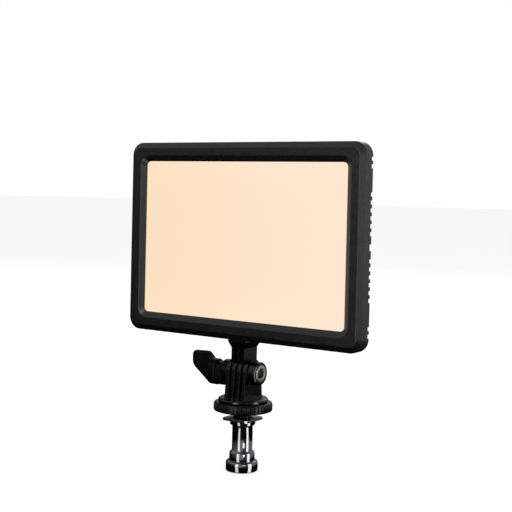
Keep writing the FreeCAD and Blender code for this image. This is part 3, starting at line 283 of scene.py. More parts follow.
PLATE_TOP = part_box("shoe_foot")[0].z + 1.95 * MM
MATERIALS = {
    "casing_plastic": moulded("casing_plastic", rgb(17, 14, 16), 0.3, depth=0.004 * MM, edge=0.3 * MM),
    "housing_plastic": moulded("housing_plastic", rgb(26, 25, 28), 0.4, grain=0.45 * MM, depth=0.012 * MM),
    "diffuser": lit_diffuser(),
    "film": clear_sheet("film", (0.9, 0.9, 0.9, 1), 0.2),
    "light_guide": clear_sheet("light_guide", (0.93, 0.96, 0.94, 1), 0.1),
    "reflector": moulded("reflector", rgb(240, 240, 240), 0.4, wear=0.0),
    "chassis_metal": metal("chassis_metal", (0.72, 0.73, 0.74, 1), 0.38, brush=(0.05, 1, 1)),
    "strip_board": board("strip_board", rgb(235, 235, 228)),
    "warm_led": glowing("warm_led", rgb(255, 214, 130), 4.0),
    "cool_led": glowing("cool_led", rgb(255, 246, 214), 4.0),
    "circuit_board": board("circuit_board", rgb(20, 92, 52)),
    "black_package": moulded("black_package", rgb(34, 34, 36), 0.45, wear=0.2),
    "ferrite": moulded("ferrite", rgb(62, 62, 64), 0.6, depth=0.03 * MM),
    "capacitor_can": metal("capacitor_can", (0.72, 0.73, 0.75, 1), 0.3, brush=(1, 0.1, 1)),
    "screw_steel": metal("screw_steel", rgb(70, 70, 72), 0.35, pits=0.2),
    "zinc_steel": metal("zinc_steel", rgb(196, 194, 186), 0.33, pits=0.4),
    "dark_steel": metal("dark_steel", rgb(60, 60, 62), 0.34, brush=(0.3, 1, 1)),
    "spring_steel": metal("spring_steel", rgb(190, 190, 194), 0.25),
    "brass": metal("brass", (0.78, 0.58, 0.28, 1), 0.3),
    "contact_gold": metal("contact_gold", (0.88, 0.66, 0.3, 1), 0.22),
    "dial_plastic": moulded("dial_plastic", rgb(32, 32, 34), 0.45, edge=0.3 * MM),
    "switch_plastic": polished("switch_plastic", rgb(26, 26, 28), 0.2),
    "head_plastic": moulded("head_plastic", rgb(6, 4, 5), 0.16, depth=0.001 * MM, wear=0.1, edge=0.16 * MM,
                            shine=0.4),
    "lever_plastic": moulded("lever_plastic", rgb(8, 8, 8), 0.34, depth=0.003 * MM, wear=0.2, edge=0.5 * MM,
                             shine=0.08),
    "ring_plastic": moulded("ring_plastic", rgb(12, 10, 11), 0.3, depth=0.003 * MM, edge=0.25 * MM,
                            shine=0.2),
    # The foot's stem above the plate top is near-black, darker than the plate.
    "foot_metal": metal("foot_metal", rgb(214, 213, 212), 0.2, pits=0.6, spread=0.05, black_above=PLATE_TOP),
    "spigot_metal": metal("spigot_metal", (0.19, 0.19, 0.2, 1), 0.1, spread=0.02),
    "washer_nylon": polished("washer_nylon", rgb(46, 46, 48), 0.35, coat=0.1),
    "wire_red": polished("wire_red", rgb(176, 30, 24), 0.35, coat=0.1),
    "wire_white": polished("wire_white", rgb(222, 220, 214), 0.35, coat=0.1),
}


def paint_frame():
    """Every CAD node takes the material of its slot in the record."""
    for row in frame["record"]["subparts"]:
        mesh = frame["nodes"][row["node"]].data
        mesh.materials.clear()
        mesh.materials.append(MATERIALS[row["material_slot"]])


paint_frame()


# ---------------------------------------------------------------- mesh tools


def middle(node):
    """The centre of a CAD node's box."""
    low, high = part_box(node)
    return (Vector(low) + Vector(high)) / 2


def solids_of(node):
    """The box of each separate solid in a CAD node, lowest corner first."""
    bm = bmesh.new()
    bm.from_mesh(frame["nodes"][node].data)
    bmesh.ops.remove_doubles(bm, verts=bm.verts, dist=1e-6)
    boxes, waiting = [], set(bm.verts)
    while waiting:
        edge_of_island = [waiting.pop()]
        island = list(edge_of_island)
        while edge_of_island:
            vert = edge_of_island.pop()
            for edge in vert.link_edges:
                other = edge.other_vert(vert)
                if other in waiting:
                    waiting.remove(other)
                    edge_of_island.append(other)
                    island.append(other)
        corners = [[pick(vert.co[axis] for vert in island) for axis in range(3)] for pick in (min, max)]
        boxes.append(tuple(Vector(corner) for corner in corners))
    bm.free()
    return sorted(boxes, key=lambda box: [round(number, 5) for number in box[0]])


def bridge(bm, first, second):
    """Faces between two rings of vertices; a ring of one vertex is a tip."""
    count = max(len(first), len(second))
    for step in range(count):
        after = (step + 1) % count
        corners = [first[step % len(first)], first[after % len(first)], second[after % len(second)],
                   second[step % len(second)]]
        unique = [vert for index, vert in enumerate(corners) if vert not in corners[:index]]
        if len(unique) > 2:
            bm.faces.new(unique)


def revolve(profile, steps=96, loop=False):
    """A closed turned shape along Z, from (radius, height) or (radius, height, shape) points.

    A shape is a function of angle, radius and height that gives the radius there. With loop, the
    profile's last point joins its first, which makes a ring.
    """
    bm = bmesh.new()
    rings = []
    for radius, height, *shape in profile:
        if radius == 0:
            rings.append([bm.verts.new((0, 0, height))])
            continue
        ring = []
        for step in range(steps):
            angle = 2 * math.pi * step / steps
            reach = shape[0](angle, radius, height) if shape else radius
            ring.append(bm.verts.new((reach * math.cos(angle), reach * math.sin(angle), height)))
        rings.append(ring)
    pairs = list(zip(rings, rings[1:])) + ([(rings[-1], rings[0])] if loop else [])
    for first, second in pairs:
        bridge(bm, first, second)
    return bm


def loft(sections):
    """A closed shape through a row of sections that all have as many points."""
    bm = bmesh.new()
    rings = [[bm.verts.new(point) for point in section] for section in sections]
    for first, second in zip(rings, rings[1:]):
        bridge(bm, first, second)
    bm.faces.new(rings[0])
    bm.faces.new(rings[-1])
    bmesh.ops.remove_doubles(bm, verts=bm.verts, dist=1e-7)
    return bm


def prism(outline, low, high):
    """A flat outline in XY, extruded from one height to another."""
    return loft([[(x, y, height) for x, y in outline] for height in (low, high)])


def rectangle_points(width, tall, y=0.0):
    """Corners of a rectangle centred on X, with its middle at a height."""
    return [(-width / 2, y - tall / 2), (width / 2, y - tall / 2), (width / 2, y + tall / 2),
            (-width / 2, y + tall / 2)]


def gather(shapes):
    """One bmesh that holds several, each as a separate shell."""
    whole = bmesh.new()
    for bm in shapes:
        mesh = bpy.data.meshes.new("gather")
        bm.to_mesh(mesh)
        bm.free()
        whole.from_mesh(mesh)
        bpy.data.meshes.remove(mesh)
    return whole


def combine(solid, tool, operation):
    """Union or difference of two closed shapes."""
    holders = []
    for shape in (solid, tool):
        bmesh.ops.recalc_face_normals(shape, faces=shape.faces)
        mesh = bpy.data.meshes.new("combine")
        shape.to_mesh(mesh)
        shape.free()
        holder = bpy.data.objects.new("combine", mesh)
        bpy.context.scene.collection.objects.link(holder)
        holders.append(holder)
    modifier = holders[0].modifiers.new("combine", "BOOLEAN")
    modifier.operation, modifier.solver, modifier.object = operation, "EXACT", holders[1]
    bpy.context.view_layer.update()
    result = bmesh.new()
    result.from_object(holders[0], bpy.context.evaluated_depsgraph_get())
    for holder in holders:
        mesh = holder.data
        bpy.data.objects.remove(holder, do_unlink=True)
        bpy.data.meshes.remove(mesh)
    return result


AXIS_TURN = {
    "x": Matrix.Rotation(math.pi / 2, 4, "Y"),
    "y": Matrix.Rotation(-math.pi / 2, 4, "X"),
    "z": Matrix.Identity(4),
}


def placed(bm, place, axis="z"):
    """Turn a shape's Z axis to another axis, then move it."""
    bm.transform(Matrix.Translation(place) @ AXIS_TURN[axis])
    return bm


def add_piece(name, bm, body, slot, replaces=(), material=None, sharp=32):
    """Make an object of a shape, give it its material and let it ride on its body."""
    bmesh.ops.recalc_face_normals(bm, faces=bm.faces)
    mesh = bpy.data.meshes.new(name)
    bm.to_mesh(mesh)
    bm.free()
    for face in mesh.polygons:
        face.use_smooth = True
    mesh.set_sharp_from_angle(angle=math.radians(sharp))
    mesh.materials.append(material or MATERIALS[slot])
    piece = bpy.data.objects.new(name, mesh)
    bpy.context.scene.collection.objects.link(piece)
    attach(piece, body)
    if replaces:
        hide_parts(*replaces)
    return piece


# ---------------------------------------------------------------- radius shapes


def thread(pitch, deep):
    """Screw thread: the radius falls to its root and back once each pitch."""
    def shape(angle, radius, height):
        turn = (height / pitch - angle / (2 * math.pi)) % 1.0
        return radius - deep * min(1.0, abs(2 * turn - 1) * 1.3)
    return shape


def grip(count, deep, width):
    """Ribs: narrow rounded grooves between wide lands."""
    def shape(angle, radius, height):
        wave = 0.5 + 0.5 * math.cos(count * angle)
        groove = max(0.0, (wave - 1 + width) / width)
        return radius - deep * groove * groove * (3 - 2 * groove)
    return shape


def hexagonal(flats, corner):
    """A hexagon whose corners are turned off."""
    def shape(angle, radius, height):
        inside = (angle + math.pi / 6) % (math.pi / 3) - math.pi / 6
        return min(flats / 2 / math.cos(inside), corner) * radius
    return shape


def square(half, corner):
    """A square with round corners; the radius given is how far the face is moved in or out."""
    def shape(angle, radius, height):
        side = half + radius - 1.0
        dx, dy = abs(math.cos(angle)), abs(math.sin(angle))
        reach = side / max(dx, dy)
        centre = side - corner
        if min(dx, dy) * reach > centre:
            along = (dx + dy) * centre
            reach = along + math.sqrt(along * along - 2 * centre * centre + corner * corner)
        return reach
    return shape


def thread_rows(radius, low, high, pitch, deep, rows=10):
    """Profile points of a threaded length."""
    count = max(2, round((high - low) / pitch * rows))
    turn = thread(pitch, deep)
    return [(radius, low + (high - low) * step / count, turn) for step in range(count + 1)]


# ---------------------------------------------------------------- tilt head and foot


def build_lock_ring():
    """The knurled ring, with chamfered ends and a plain bore."""
    low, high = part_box("lock_ring")
    r, tall = high.x, high.z - low.z
    ribs = grip(44, 0.85 * MM, 0.42)
    outer = [(r - 1.1 * MM, 0), (r - 0.35 * MM, 0.25 * MM, ribs), (r, 0.9 * MM, ribs), (r, tall * 0.5, ribs),
             (r, tall - 1.4 * MM, ribs), (r - 0.25 * MM, tall - 0.6 * MM, ribs),
             (r - 0.8 * MM, tall - 0.15 * MM, ribs), (r - 1.5 * MM, tall)]
    bore = 6.05 * MM
    inner = [(bore + 1.2 * MM, tall), (bore, tall - 0.6 * MM), (bore, 0.5 * MM), (bore + 0.5 * MM, 0)]
    bm = revolve(outer + inner, steps=528, loop=True)
    add_piece("lock_ring_ribbed", placed(bm, (0, 0, low.z)), "ring", "ring_plastic", ("lock_ring",))


def build_foot():
    """The square plate and its M12 stem, threaded where the lock ring runs."""
    low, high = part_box("shoe_foot")
    half = high.x
    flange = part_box("tilt_fork")[0].z
    plate = square(half / MM, 1.0)

    def side(angle, radius, height):
        return plate(angle, radius, height) * MM

    bottom, top = low.z, low.z + 1.9 * MM
    bore = 3.23 * MM
    profile = [(0, high.z - 2 * MM), (bore, high.z - 2 * MM), (bore, bottom), (0.75, bottom, side),
               (1.0, bottom + 0.25 * MM, side), (1.0, top - 0.3 * MM, side), (0.7, top, side),
               (6.4 * MM, top), (5.3 * MM, top + 0.5 * MM)]
    profile += thread_rows(6.0 * MM, top + 0.6 * MM, flange - 0.3 * MM, 1.5 * MM, 0.75 * MM)
    profile += [(5.0 * MM, flange), (5.0 * MM, high.z), (0, high.z)]
    add_piece("shoe_foot_threaded", revolve(profile, steps=144), "head_base", "foot_metal", ("shoe_foot",))


def build_spigot():
    """The turned spigot with a real 3/8 inch thread in its socket."""
    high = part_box("stand_spigot")[1]
    base, body, neck, top = high.x, 8.0 * MM, 6.5 * MM, high.z
    outer = [(base - 0.9 * MM, 0), (base - 0.2 * MM, 0.25 * MM), (base, 0.9 * MM), (base, 5.2 * MM),
             (base - 0.15 * MM, 5.8 * MM), (base - 0.6 * MM, 6.3 * MM), (base - 1.3 * MM, 6.5 * MM),
             (body + 0.15 * MM, 6.5 * MM), (body, 6.65 * MM), (body, 11.2 * MM),
             (body - 0.15 * MM, 11.7 * MM),
             (neck + 0.25 * MM, 12.8 * MM), (neck, 13.2 * MM), (neck, top - 3.6 * MM),
             (neck + 0.15 * MM, top - 3.3 * MM), (body - 0.6 * MM, top - 2.8 * MM),
             (body - 0.1 * MM, top - 2.5 * MM), (body, top - 2.2 * MM), (body, top - 0.4 * MM),
             (body - 0.4 * MM, top)]
    stud = 3.175 * MM
    inner = [(stud, top), (stud, top - 8 * MM), (0, top - 8 * MM)]
    socket = [(0, 11.0 * MM), (4.0 * MM, 11.0 * MM)]
    socket += list(reversed(thread_rows(4.7 * MM, 0.9 * MM, 10.4 * MM, 1.5875 * MM, 0.7 * MM, rows=8)))
    socket += [(4.9 * MM, 0)]
    shell = revolve(socket + outer + inner, steps=120)
    add_piece("stand_spigot_turned", shell, "stand_adapter", "spigot_metal", ("stand_spigot",), sharp=40)


def build_nut_and_bolt():
    """The hexagon nut on one side of the fork, and the threaded bolt the lever turns."""
    low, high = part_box("tilt_nut")
    pivot = middle("tilt_bolt").z
    flats = 10.0 * MM
    long = high.x - low.x
    hexagon = hexagonal(flats, 5.72 * MM)

    def chamfered(angle, radius, height):
        return hexagon(angle, 0.985, height)

    outer = [(1, 0, chamfered), (1, 0.2 * MM, hexagon), (1, long - 0.55 * MM, hexagon),
             (5.35 * MM, long - 0.12 * MM), (4.7 * MM, long)]
    inner = [(3.5 * MM, long), (3.06 * MM, long - 0.45 * MM)]
    inner += list(reversed(thread_rows(3.12 * MM, 0.5 * MM, long - 0.6 * MM, 1.0 * MM, 0.08 * MM, rows=6)))
    inner += [(3.4 * MM, 0)]
    nut = revolve(outer + inner, steps=144, loop=True)
    nut.transform(Matrix.Rotation(math.pi / 2, 4, "Z"))
    add_piece("tilt_nut_faced", placed(nut, (low.x, 0, pivot), "x"), "head_base", "zinc_steel", ("tilt_nut",))
    start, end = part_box("tilt_bolt")[0].x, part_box("tilt_bolt")[1].x
    radius = 3.0 * MM
    profile = [(0, start), (radius, start), (radius, 0.0)]
    profile += thread_rows(radius, 0.3 * MM, end - 0.9 * MM, 1.0 * MM, 0.6 * MM)
    profile += [(2.3 * MM, end - 0.35 * MM), (1.9 * MM, end), (0, end)]
    bolt = revolve(profile, steps=72)
    add_piece("tilt_bolt_threaded", placed(bolt, (0, 0, pivot), "x"), "lever", "dark_steel", ("tilt_bolt",))


def section_points(x, half, top, bottom, corner, steps=7):
    """A rounded rectangle across the X axis; a corner as large as half makes a slot shape."""
    points = []
    for quarter, (side, rise) in enumerate(((1, 1), (-1, 1), (-1, -1), (1, -1))):
        y = side * (half - corner)
        z = top - corner if rise > 0 else bottom + corner
        for step in range(steps + 1):
            angle = (quarter + step / steps) * math.pi / 2
            points.append((x, y + corner * math.cos(angle), z + corner * math.sin(angle)))
    return [tuple(number * MM for number in point) for point in points]


def along(table, x):
    """Straight-line look-up in a table of (place, value)."""
    for (x0, y0), (x1, y1) in zip(table, table[1:]):
        if x <= x1:
            return y0 + (y1 - y0) * max(0.0, x - x0) / (x1 - x0)
    return table[-1][1]


# All in millimetres. The blade's top and bottom edges and half thickness, each against the place along X.
BLADE_TOP = [(-39.8, 6.6), (-39.5, 8.0), (-39.0, 9.3), (-38.2, 9.95), (-37.0, 10.1), (-28.2, 10.4),
             (-27.2, 10.2), (-26.4, 9.5), (-25.0, 7.6), (-23.8, 6.2), (-22.6, 5.4), (-20.5, 5.0)]
BLADE_BOTTOM = [(-39.8, 4.8), (-39.6, 3.2), (-39.1, 1.6), (-38.4, 0.4), (-37.4, -0.8), (-31.6, -5.7),
                (-26.6, -9.4), (-25.2, -10.0), (-23.8, -10.1), (-20.5, -9.8)]
BLADE_HALF = [(-39.8, 1.0), (-39.5, 1.7), (-38.8, 2.25), (-37.6, 2.5), (-35.5, 2.35), (-32.0, 1.95),
              (-28.5, 2.1), (-26.0, 2.5), (-24.2, 3.1), (-20.5, 3.4)]
# The hub's place along X, half thickness, top and bottom.
HUB_STATIONS = [(-24.3, 5.2, 5.5, -9.6), (-24.0, 5.75, 6.1, -10.2), (-23.4, 6.0, 6.3, -10.4),
                (-19.7, 6.0, 6.3, -10.4), (-19.1, 5.8, 6.1, -10.2), (-18.9, 5.4, 5.7, -9.9),
                (-18.85, 4.8, 4.8, -10.0), (-18.5, 4.75, 4.75, -10.1), (-14.3, 4.75, 4.75, -10.1),
                (-14.1, 4.7, 4.7, -9.9), (-14.0, 4.7, 4.7, -9.4), (-13.98, 6.2, 6.2, -6.2),
                (-13.7, 6.65, 6.65, -6.65), (-13.2, 6.8, 6.8, -6.8), (-9.2, 6.8, 6.8, -6.8),
                (-8.7, 6.65, 6.65, -6.65), (-8.47, 6.3, 6.3, -6.3)]


def build_lever():
    """The thumb lever: a dished blade with soft edges on a stepped hub."""
    count = 64
    first, last = BLADE_TOP[0][0], BLADE_TOP[-1][0]
    blade = []
    for step in range(count + 1):
        x = first + (last - first) * (step / count) ** 1.25
        half = along(BLADE_HALF, x)
        top, bottom = along(BLADE_TOP, x), along(BLADE_BOTTOM, x)
        blade.append(section_points(x, half, top, bottom, min(1.5, half * 0.75)))
    hub = [section_points(x, half, top, bottom, half) for x, half, top, bottom in HUB_STATIONS]
    lever = combine(loft(hub), loft(blade), "UNION")
    add_piece("lever_knob_shaped", placed(lever, (0, 0, middle("tilt_bolt").z)), "lever", "lever_plastic",
              ("lever_knob",), sharp=38)


# ---------------------------------------------------------------- screws with cross recesses


SCREW_HEAD = 0.9 * MM


def cross_screw(head_r, head_t, shank_r, long):
    """A screw along Z: the head stands on the origin and has a tapered cross recess."""
    dome = [(0, head_t), (head_r * 0.35, head_t * 0.99), (head_r * 0.62, head_t * 0.93),
            (head_r * 0.84, head_t * 0.74), (head_r * 0.96, head_t * 0.45), (head_r, head_t * 0.2),
            (head_r, 0), (shank_r, 0)]
    shank = list(reversed(thread_rows(shank_r, -long + 0.3 * MM, -0.2 * MM, 0.8 * MM, 0.28 * MM, rows=6)))
    screw = revolve(dome + shank + [(0, -long)], steps=40)
    floor, mouth = head_t * 0.25, head_t * 1.3
    arms = []
    for turn in (0, math.pi / 2):
        wide, narrow = head_r * 1.15, head_r * 0.26
        top = rectangle_points(wide, narrow)
        bottom = rectangle_points(wide * 0.5, narrow * 0.7)
        arm = loft([[(x, y, floor) for x, y in bottom], [(x, y, mouth) for x, y in top]])
        arm.transform(Matrix.Rotation(turn, 4, "Z"))
        arms.append(arm)
    return combine(screw, combine(*arms, "UNION"), "DIFFERENCE")


def build_screws():
    """Each CAD screw gets a head with a recess, turned a little further than the last."""
    for node, slot in (("housing_screws", "screw_steel"), ("battery_plate_screws", "screw_steel"),
                       ("board_screws", "zinc_steel")):
        boxes = solids_of(node)
        faces_front = node == "board_screws"
        low, high = boxes[0]
        model = cross_screw((high.x - low.x) / 2, SCREW_HEAD, 1.0 * MM, high.y - low.y - SCREW_HEAD)
        mesh = bpy.data.meshes.new("screw")
        model.to_mesh(mesh)
        model.free()
        whole = bmesh.new()
        for index, (low, high) in enumerate(boxes):
            one = bmesh.new()
            one.from_mesh(mesh)
            one.transform(Matrix.Rotation(0.7 * index, 4, "Z"))
            if faces_front:
                one.transform(Matrix.Rotation(math.pi, 4, "X"))
            seat = low.y + SCREW_HEAD if faces_front else high.y - SCREW_HEAD
            placed(one, ((low.x + high.x) / 2, seat, (low.z + high.z) / 2), "y")
            copy = bpy.data.meshes.new("copy")
            one.to_mesh(copy)
            one.free()
            whole.from_mesh(copy)
            bpy.data.meshes.remove(copy)
        bpy.data.meshes.remove(mesh)
        add_piece(node + "_crossed", whole, "panel", slot, (node,))


# ---------------------------------------------------------------- controls on the back


PRINT = moulded("print_white", rgb(214, 214, 210), 0.55, depth=0.002 * MM, wear=0.0)
SWITCH_FLANGE = 1.2 * MM
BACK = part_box("switch_body")[1].y - SWITCH_FLANGE
MARK_DEEP = 0.06 * MM
# The rocker's two halves lean towards its axle, and it rests tipped to one side.
ROCKER_FALL, ROCKER_HALF, ROCKER_CREST = 0.7, 5.4, 2.0 * MM
ROCKER_REST = math.radians(-9.0)


def facing_back(x, y, z):
    """Turns a flat shape drawn in XY to face away from the lit side, with its origin at a place."""
    return Matrix(((-1, 0, 0, x), (0, 0, 1, y), (0, 1, 0, z), (0, 0, 0, 1)))


def on_back(bm, x, z, depth=BACK):
    """Lay a flat shape drawn in XY on the back, or at another depth."""
    bm.transform(facing_back(x, depth, z))
    return bm


def build_dial(name):
    """A ribbed dial with a dished cap, and a pointer line let into it."""
    low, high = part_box(name + "_dial")
    centre = middle(name + "_dial")
    r, tall = 9.0 * MM, high.y - low.y
    ribs = grip(30, 0.5 * MM, 0.5)
    profile = [(3.0 * MM, 0), (r + 0.45 * MM, 0), (r + 0.6 * MM, 0.2 * MM), (r + 0.6 * MM, 1.0 * MM),
               (r + 0.3 * MM, 1.5 * MM), (r - 0.1 * MM, 1.9 * MM), (r, 2.3 * MM, ribs),
               (r - 0.2 * MM, tall * 0.6, ribs), (r - 0.35 * MM, tall - 1.5 * MM, ribs),
               (r - 0.7 * MM, tall - 0.7 * MM, ribs), (r - 1.3 * MM, tall - 0.15 * MM), (r - 1.8 * MM, tall),
               (r - 3.0 * MM, tall), (r - 3.4 * MM, tall - 0.25 * MM), (r - 3.9 * MM, tall - 0.45 * MM),
               (0, tall - 0.45 * MM), (0, 7.1 * MM), (3.0 * MM, 7.1 * MM)]
    dial = placed(revolve(profile, steps=360, loop=True), (centre.x, low.y, centre.z), "y")
    add_piece(name + "_dial_ribbed", dial, name + "_control", "dial_plastic", (name + "_dial",))
    line = prism(rectangle_points(0.9 * MM, 5.6 * MM, y=5.1 * MM), -0.3 * MM, 0.08 * MM)
    add_piece(name + "_pointer", on_back(line, centre.x, centre.z, high.y), name + "_control", "reflector",
              material=PRINT)


def text_shape(words, size):
    """Printed figures as a thin solid, centred on the origin."""
    curve = bpy.data.curves.new("print", "FONT")
    curve.body, curve.size, curve.extrude = words, size, MARK_DEEP / 2
    curve.align_x, curve.align_y, curve.resolution_u = "CENTER", "CENTER", 4
    holder = bpy.data.objects.new("print", curve)
    bpy.context.scene.collection.objects.link(holder)
    mesh = bpy.data.meshes.new_from_object(holder)
    bm = bmesh.new()
    bm.from_mesh(mesh)
    bmesh.ops.remove_doubles(bm, verts=bm.verts, dist=1e-7)
    bpy.data.objects.remove(holder, do_unlink=True)
    bpy.data.meshes.remove(mesh)
    return bm


def build_dial_print(name, figures):
    """A scale of ticks round a dial, with three figures."""
    centre = middle(name + "_dial")
    marks = []
    for step in range(11):
        turn = math.radians(-135 + 27 * step)
        long = (1.7 if step % 5 == 0 else 1.0) * MM
        tick = prism(rectangle_points(0.28 * MM, long, y=11.0 * MM + long / 2), -MARK_DEEP / 2, MARK_DEEP / 2)
        tick.transform(Matrix.Rotation(-turn, 4, "Z"))
        marks.append(tick)
    for words, turn in zip(figures, (-135, 0, 135)):
        figure = text_shape(words, 2.6 * MM)
        angle = math.radians(turn)
        figure.transform(Matrix.Translation((14.6 * MM * math.sin(angle), 14.2 * MM * math.cos(angle), 0)))
        marks.append(figure)
    scale = on_back(gather(marks), centre.x, centre.z)
    add_piece(name + "_scale", scale, "panel", "reflector", material=PRINT)


def build_rocker_marks():
    """A bar and a ring, moulded into the two halves of the rocker."""
    pivot = next(Vector(joint["pos_m"]) for joint in frame["record"]["behaviour"]["joints"]
                 if joint["name"] == "power_rock")
    lean = math.atan2(ROCKER_FALL, ROCKER_HALF)
    out = 3.1 * MM
    under, over = -0.1 * MM, 0.08 * MM
    bar = prism(rectangle_points(0.35 * MM, 1.9 * MM), under, over)
    inner, outer = 0.62 * MM, 0.95 * MM
    ring = revolve([(inner, under), (outer, under), (outer, over), (inner, over)], steps=32, loop=True)
    marks = []
    for shape, side in ((bar, 1), (ring, -1)):
        shape.transform(facing_back(0, 0, 0))
        shape.transform(Matrix.Rotation(-side * lean, 4, "X"))
        shape.transform(Matrix.Translation((0, ROCKER_CREST + out * math.tan(lean), side * out)))
        shape.transform(Matrix.Translation(pivot) @ Matrix.Rotation(ROCKER_REST, 4, "X"))
        marks.append(shape)
    add_piece("rocker_marks", gather(marks), "power_switch", "reflector", material=PRINT)


def build_jack_sleeve():
    """The sprung metal sleeve inside the power jack."""
    centre = middle("dc_jack_pin")
    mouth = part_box("dc_jack")[1].y
    profile = [(2.6 * MM, -6.5 * MM), (2.84 * MM, -6.5 * MM), (2.84 * MM, -0.15 * MM), (2.7 * MM, -0.05 * MM),
               (2.6 * MM, -0.2 * MM)]
    sleeve = placed(revolve(profile, steps=64, loop=True), (centre.x, mouth, centre.z), "y")
    add_piece("jack_sleeve", sleeve, "panel", "zinc_steel")


def build_dock_marks():
    """An arrow on the battery plate's floor, and ridges on the release pad."""
    low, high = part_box("battery_plate")
    floor = low.y + 1.8 * MM
    head = [(-3.2, 0.0), (3.2, 0.0), (0.0, -3.6)]
    shaft = rectangle_points(2.0, 7.0, y=3.5)
    shapes = [prism([(x * MM, y * MM) for x, y in outline], -MARK_DEEP, 0.25 * MM)
              for outline in (head, shaft)]
    arrow = combine(*shapes, "UNION")
    add_piece("dock_arrow", on_back(arrow, 0, high.z - 16 * MM, floor), "panel", "housing_plastic")
    low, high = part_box("release_button")
    ridges = []
    for step in range(3):
        x, z = high.x - 3.0 * MM, (low.z + high.z) / 2 + (step - 1) * 2.2 * MM
        ridge = prism(rectangle_points(4.6 * MM, 0.9 * MM), -0.2 * MM, 0.35 * MM)
        bmesh.ops.bevel(ridge, geom=ridge.edges[:], offset=0.15 * MM, segments=2, affect="EDGES")
        ridges.append(on_back(ridge, x, z, high.y))
    add_piece("release_ridges", gather(ridges), "battery_release", "dial_plastic")


build_lock_ring()
build_foot()
build_spigot()
build_nut_and_bolt()
build_lever()
build_screws()
for control, figures in (("brightness", ("0", "50", "100")), ("colour", ("32", "44", "56"))):
    build_dial(control)
    build_dial_print(control, figures)
build_rocker_marks()
build_jack_sleeve()
build_dock_marks()


# ---------------------------------------------------------------- studio and camera


def build_floor():
    """A pale floor: white to the camera with a soft shadow, and no mirror image in glossy parts."""
    bpy.ops.mesh.primitive_plane_add(size=30.0, location=(0, 0, -0.0002))
    floor = bpy.context.object
    floor.name = "floor"
    floor.visible_glossy = False
    s = Shader("floor_paper")
    s.set(Roughness=s.remap(s.noise(0.03), 0.3, 0.7, 0.75, 0.9), Specular_IOR_Level=0.1)
    seen = s.add("ShaderNodeLightPath").outputs["Is Camera Ray"]
    s.set(Base_Color=s.mix(seen, (0.1, 0.1, 0.1, 1), (0.5, 0.5, 0.5, 1)))
    s.set(Emission_Color=(1, 1, 1, 1), Emission_Strength=s.math("MULTIPLY", seen, 0.72))
    floor.data.materials.append(s.material)


SKY_GLOWS = (
    # direction, the two dot products and the two levels it runs between, and whether it fades downward
    ((0.6, 0.8, 0.0), -0.1, 0.95, 0.04, 0.55, True),
    ((0.26, -0.97, 0.0), 0.72, 0.95, 0.0, 0.75, True),
    ((-0.5, -0.36, 0.79), 0.45, 0.95, 0.0, 0.55, False),
)
SKY_FADE = (-0.16, -0.12, 0.02, 1.0)


def build_sky():
    """Pure white to the camera; everything else sees a dim room with three soft bright sides."""
    world = bpy.data.worlds.new("studio")
    bpy.context.scene.world = world
    world.use_nodes = True
    tree = world.node_tree
    tree.nodes.clear()

    def combine_levels(operation, first, second):
        """One arithmetic step with two outputs."""
        node = add_node(tree, "ShaderNodeMath", operation=operation)
        tree.links.new(first, node.inputs[0])
        tree.links.new(second, node.inputs[1])
        return node.outputs[0]

    def glow(direction, *levels):
        """Brightness that grows towards one direction."""
        dot = add_node(tree, "ShaderNodeVectorMath", operation="DOT_PRODUCT")
        dot.inputs[1].default_value = direction
        tree.links.new(place.outputs["Generated"], dot.inputs[0])
        node = add_node(tree, "ShaderNodeMapRange", interpolation_type="SMOOTHSTEP")
        for socket, number in zip(list(node.inputs)[1:5], levels):
            socket.default_value = number
        tree.links.new(dot.outputs["Value"], node.inputs[0])
        return node.outputs[0]

    place = add_node(tree, "ShaderNodeTexCoord")
    fade = glow((0.0, 0.0, 1.0), *SKY_FADE)
    total = None
    for direction, low, high, dim, bright, fades in SKY_GLOWS:
        level = glow(direction, low, high, dim, bright)
        if fades:
            level = combine_levels("MULTIPLY", level, fade)
        total = level if total is None else combine_levels("ADD", total, level)
    seen = add_node(tree, "ShaderNodeLightPath").outputs["Is Camera Ray"]
    shine = add_node(tree, "ShaderNodeBackground")
    tree.links.new(combine_levels("MAXIMUM", total, seen), shine.inputs["Strength"])
    shine.inputs["Color"].default_value = (1, 1, 1, 1)
    output = add_node(tree, "ShaderNodeOutputWorld")
    tree.links.new(shine.outputs[0], output.inputs["Surface"])


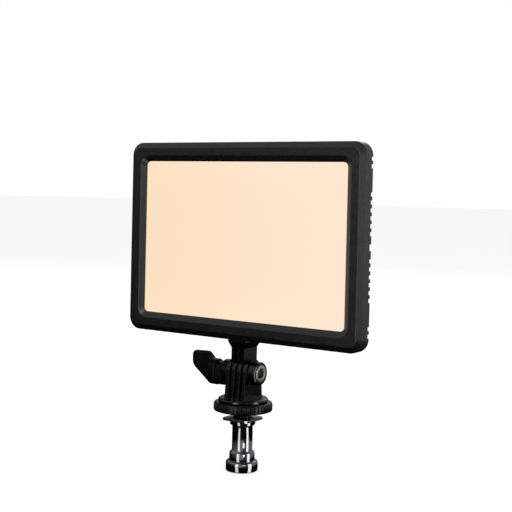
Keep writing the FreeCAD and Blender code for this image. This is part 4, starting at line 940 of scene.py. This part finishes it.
SOFTBOX_TARGET = (0, 0, 0.06)
SOFTBOX_DISTANCE = 1.6
SOFTBOXES = (
    # name, compass and elevation in degrees, width and height in metres, radiance
    ("softbox_right", 6, 0, 0.70, 2.4, 5.0),
    ("softbox_front", -91, 0, 0.58, 2.4, 4.0),
    ("softbox_window_edge", -38, 3, 0.45, 0.3, 8.0),
    ("softbox_back", 120, 35, 0.9, 0.9, 2.0),
)


def add_softbox(name, compass, elevation, width, tall, radiance):
    """A soft light aimed at the tilt head; compass is degrees from +X towards +Y."""
    light = bpy.data.lights.new(name, "AREA")
    light.shape = "RECTANGLE"
    light.size, light.size_y = width, tall
    light.energy = radiance * math.pi * width * tall
    holder = bpy.data.objects.new(name, light)
    bpy.context.scene.collection.objects.link(holder)
    turn, rise = math.radians(compass), math.radians(elevation)
    away = Vector((math.cos(rise) * math.cos(turn), math.cos(rise) * math.sin(turn), math.sin(rise)))
    holder.location = Vector(SOFTBOX_TARGET) + away * SOFTBOX_DISTANCE
    holder.rotation_euler = away.to_track_quat("Z", "Y").to_euler()


CAMERA_PLACE = (0.38977, -0.55776, 0.17529)
CAMERA_YAW, CAMERA_PITCH, CAMERA_ROLL = map(math.radians, (34.4986, 1.0950, 1.3401))
CAMERA_LENS = 76.245
CAMERA_SHIFT = -0.0845


def build_camera():
    """A long lens, a little above the tilt pivot, to the right of the lit face."""
    data = bpy.data.cameras.new("camera")
    data.sensor_width = 36.0
    data.lens = CAMERA_LENS
    data.shift_y = CAMERA_SHIFT
    camera = bpy.data.objects.new("camera", data)
    bpy.context.scene.collection.objects.link(camera)
    camera.location = CAMERA_PLACE
    aim = Matrix.Rotation(CAMERA_YAW, 4, "Z") @ Matrix.Rotation(math.pi / 2 - CAMERA_PITCH, 4, "X")
    camera.rotation_euler = (aim @ Matrix.Rotation(CAMERA_ROLL, 4, "Z")).to_euler()
    bpy.context.scene.camera = camera


build_floor()
build_sky()
for softbox in SOFTBOXES:
    add_softbox(*softbox)
build_camera()
bpy.context.scene.view_settings.view_transform = "Standard"
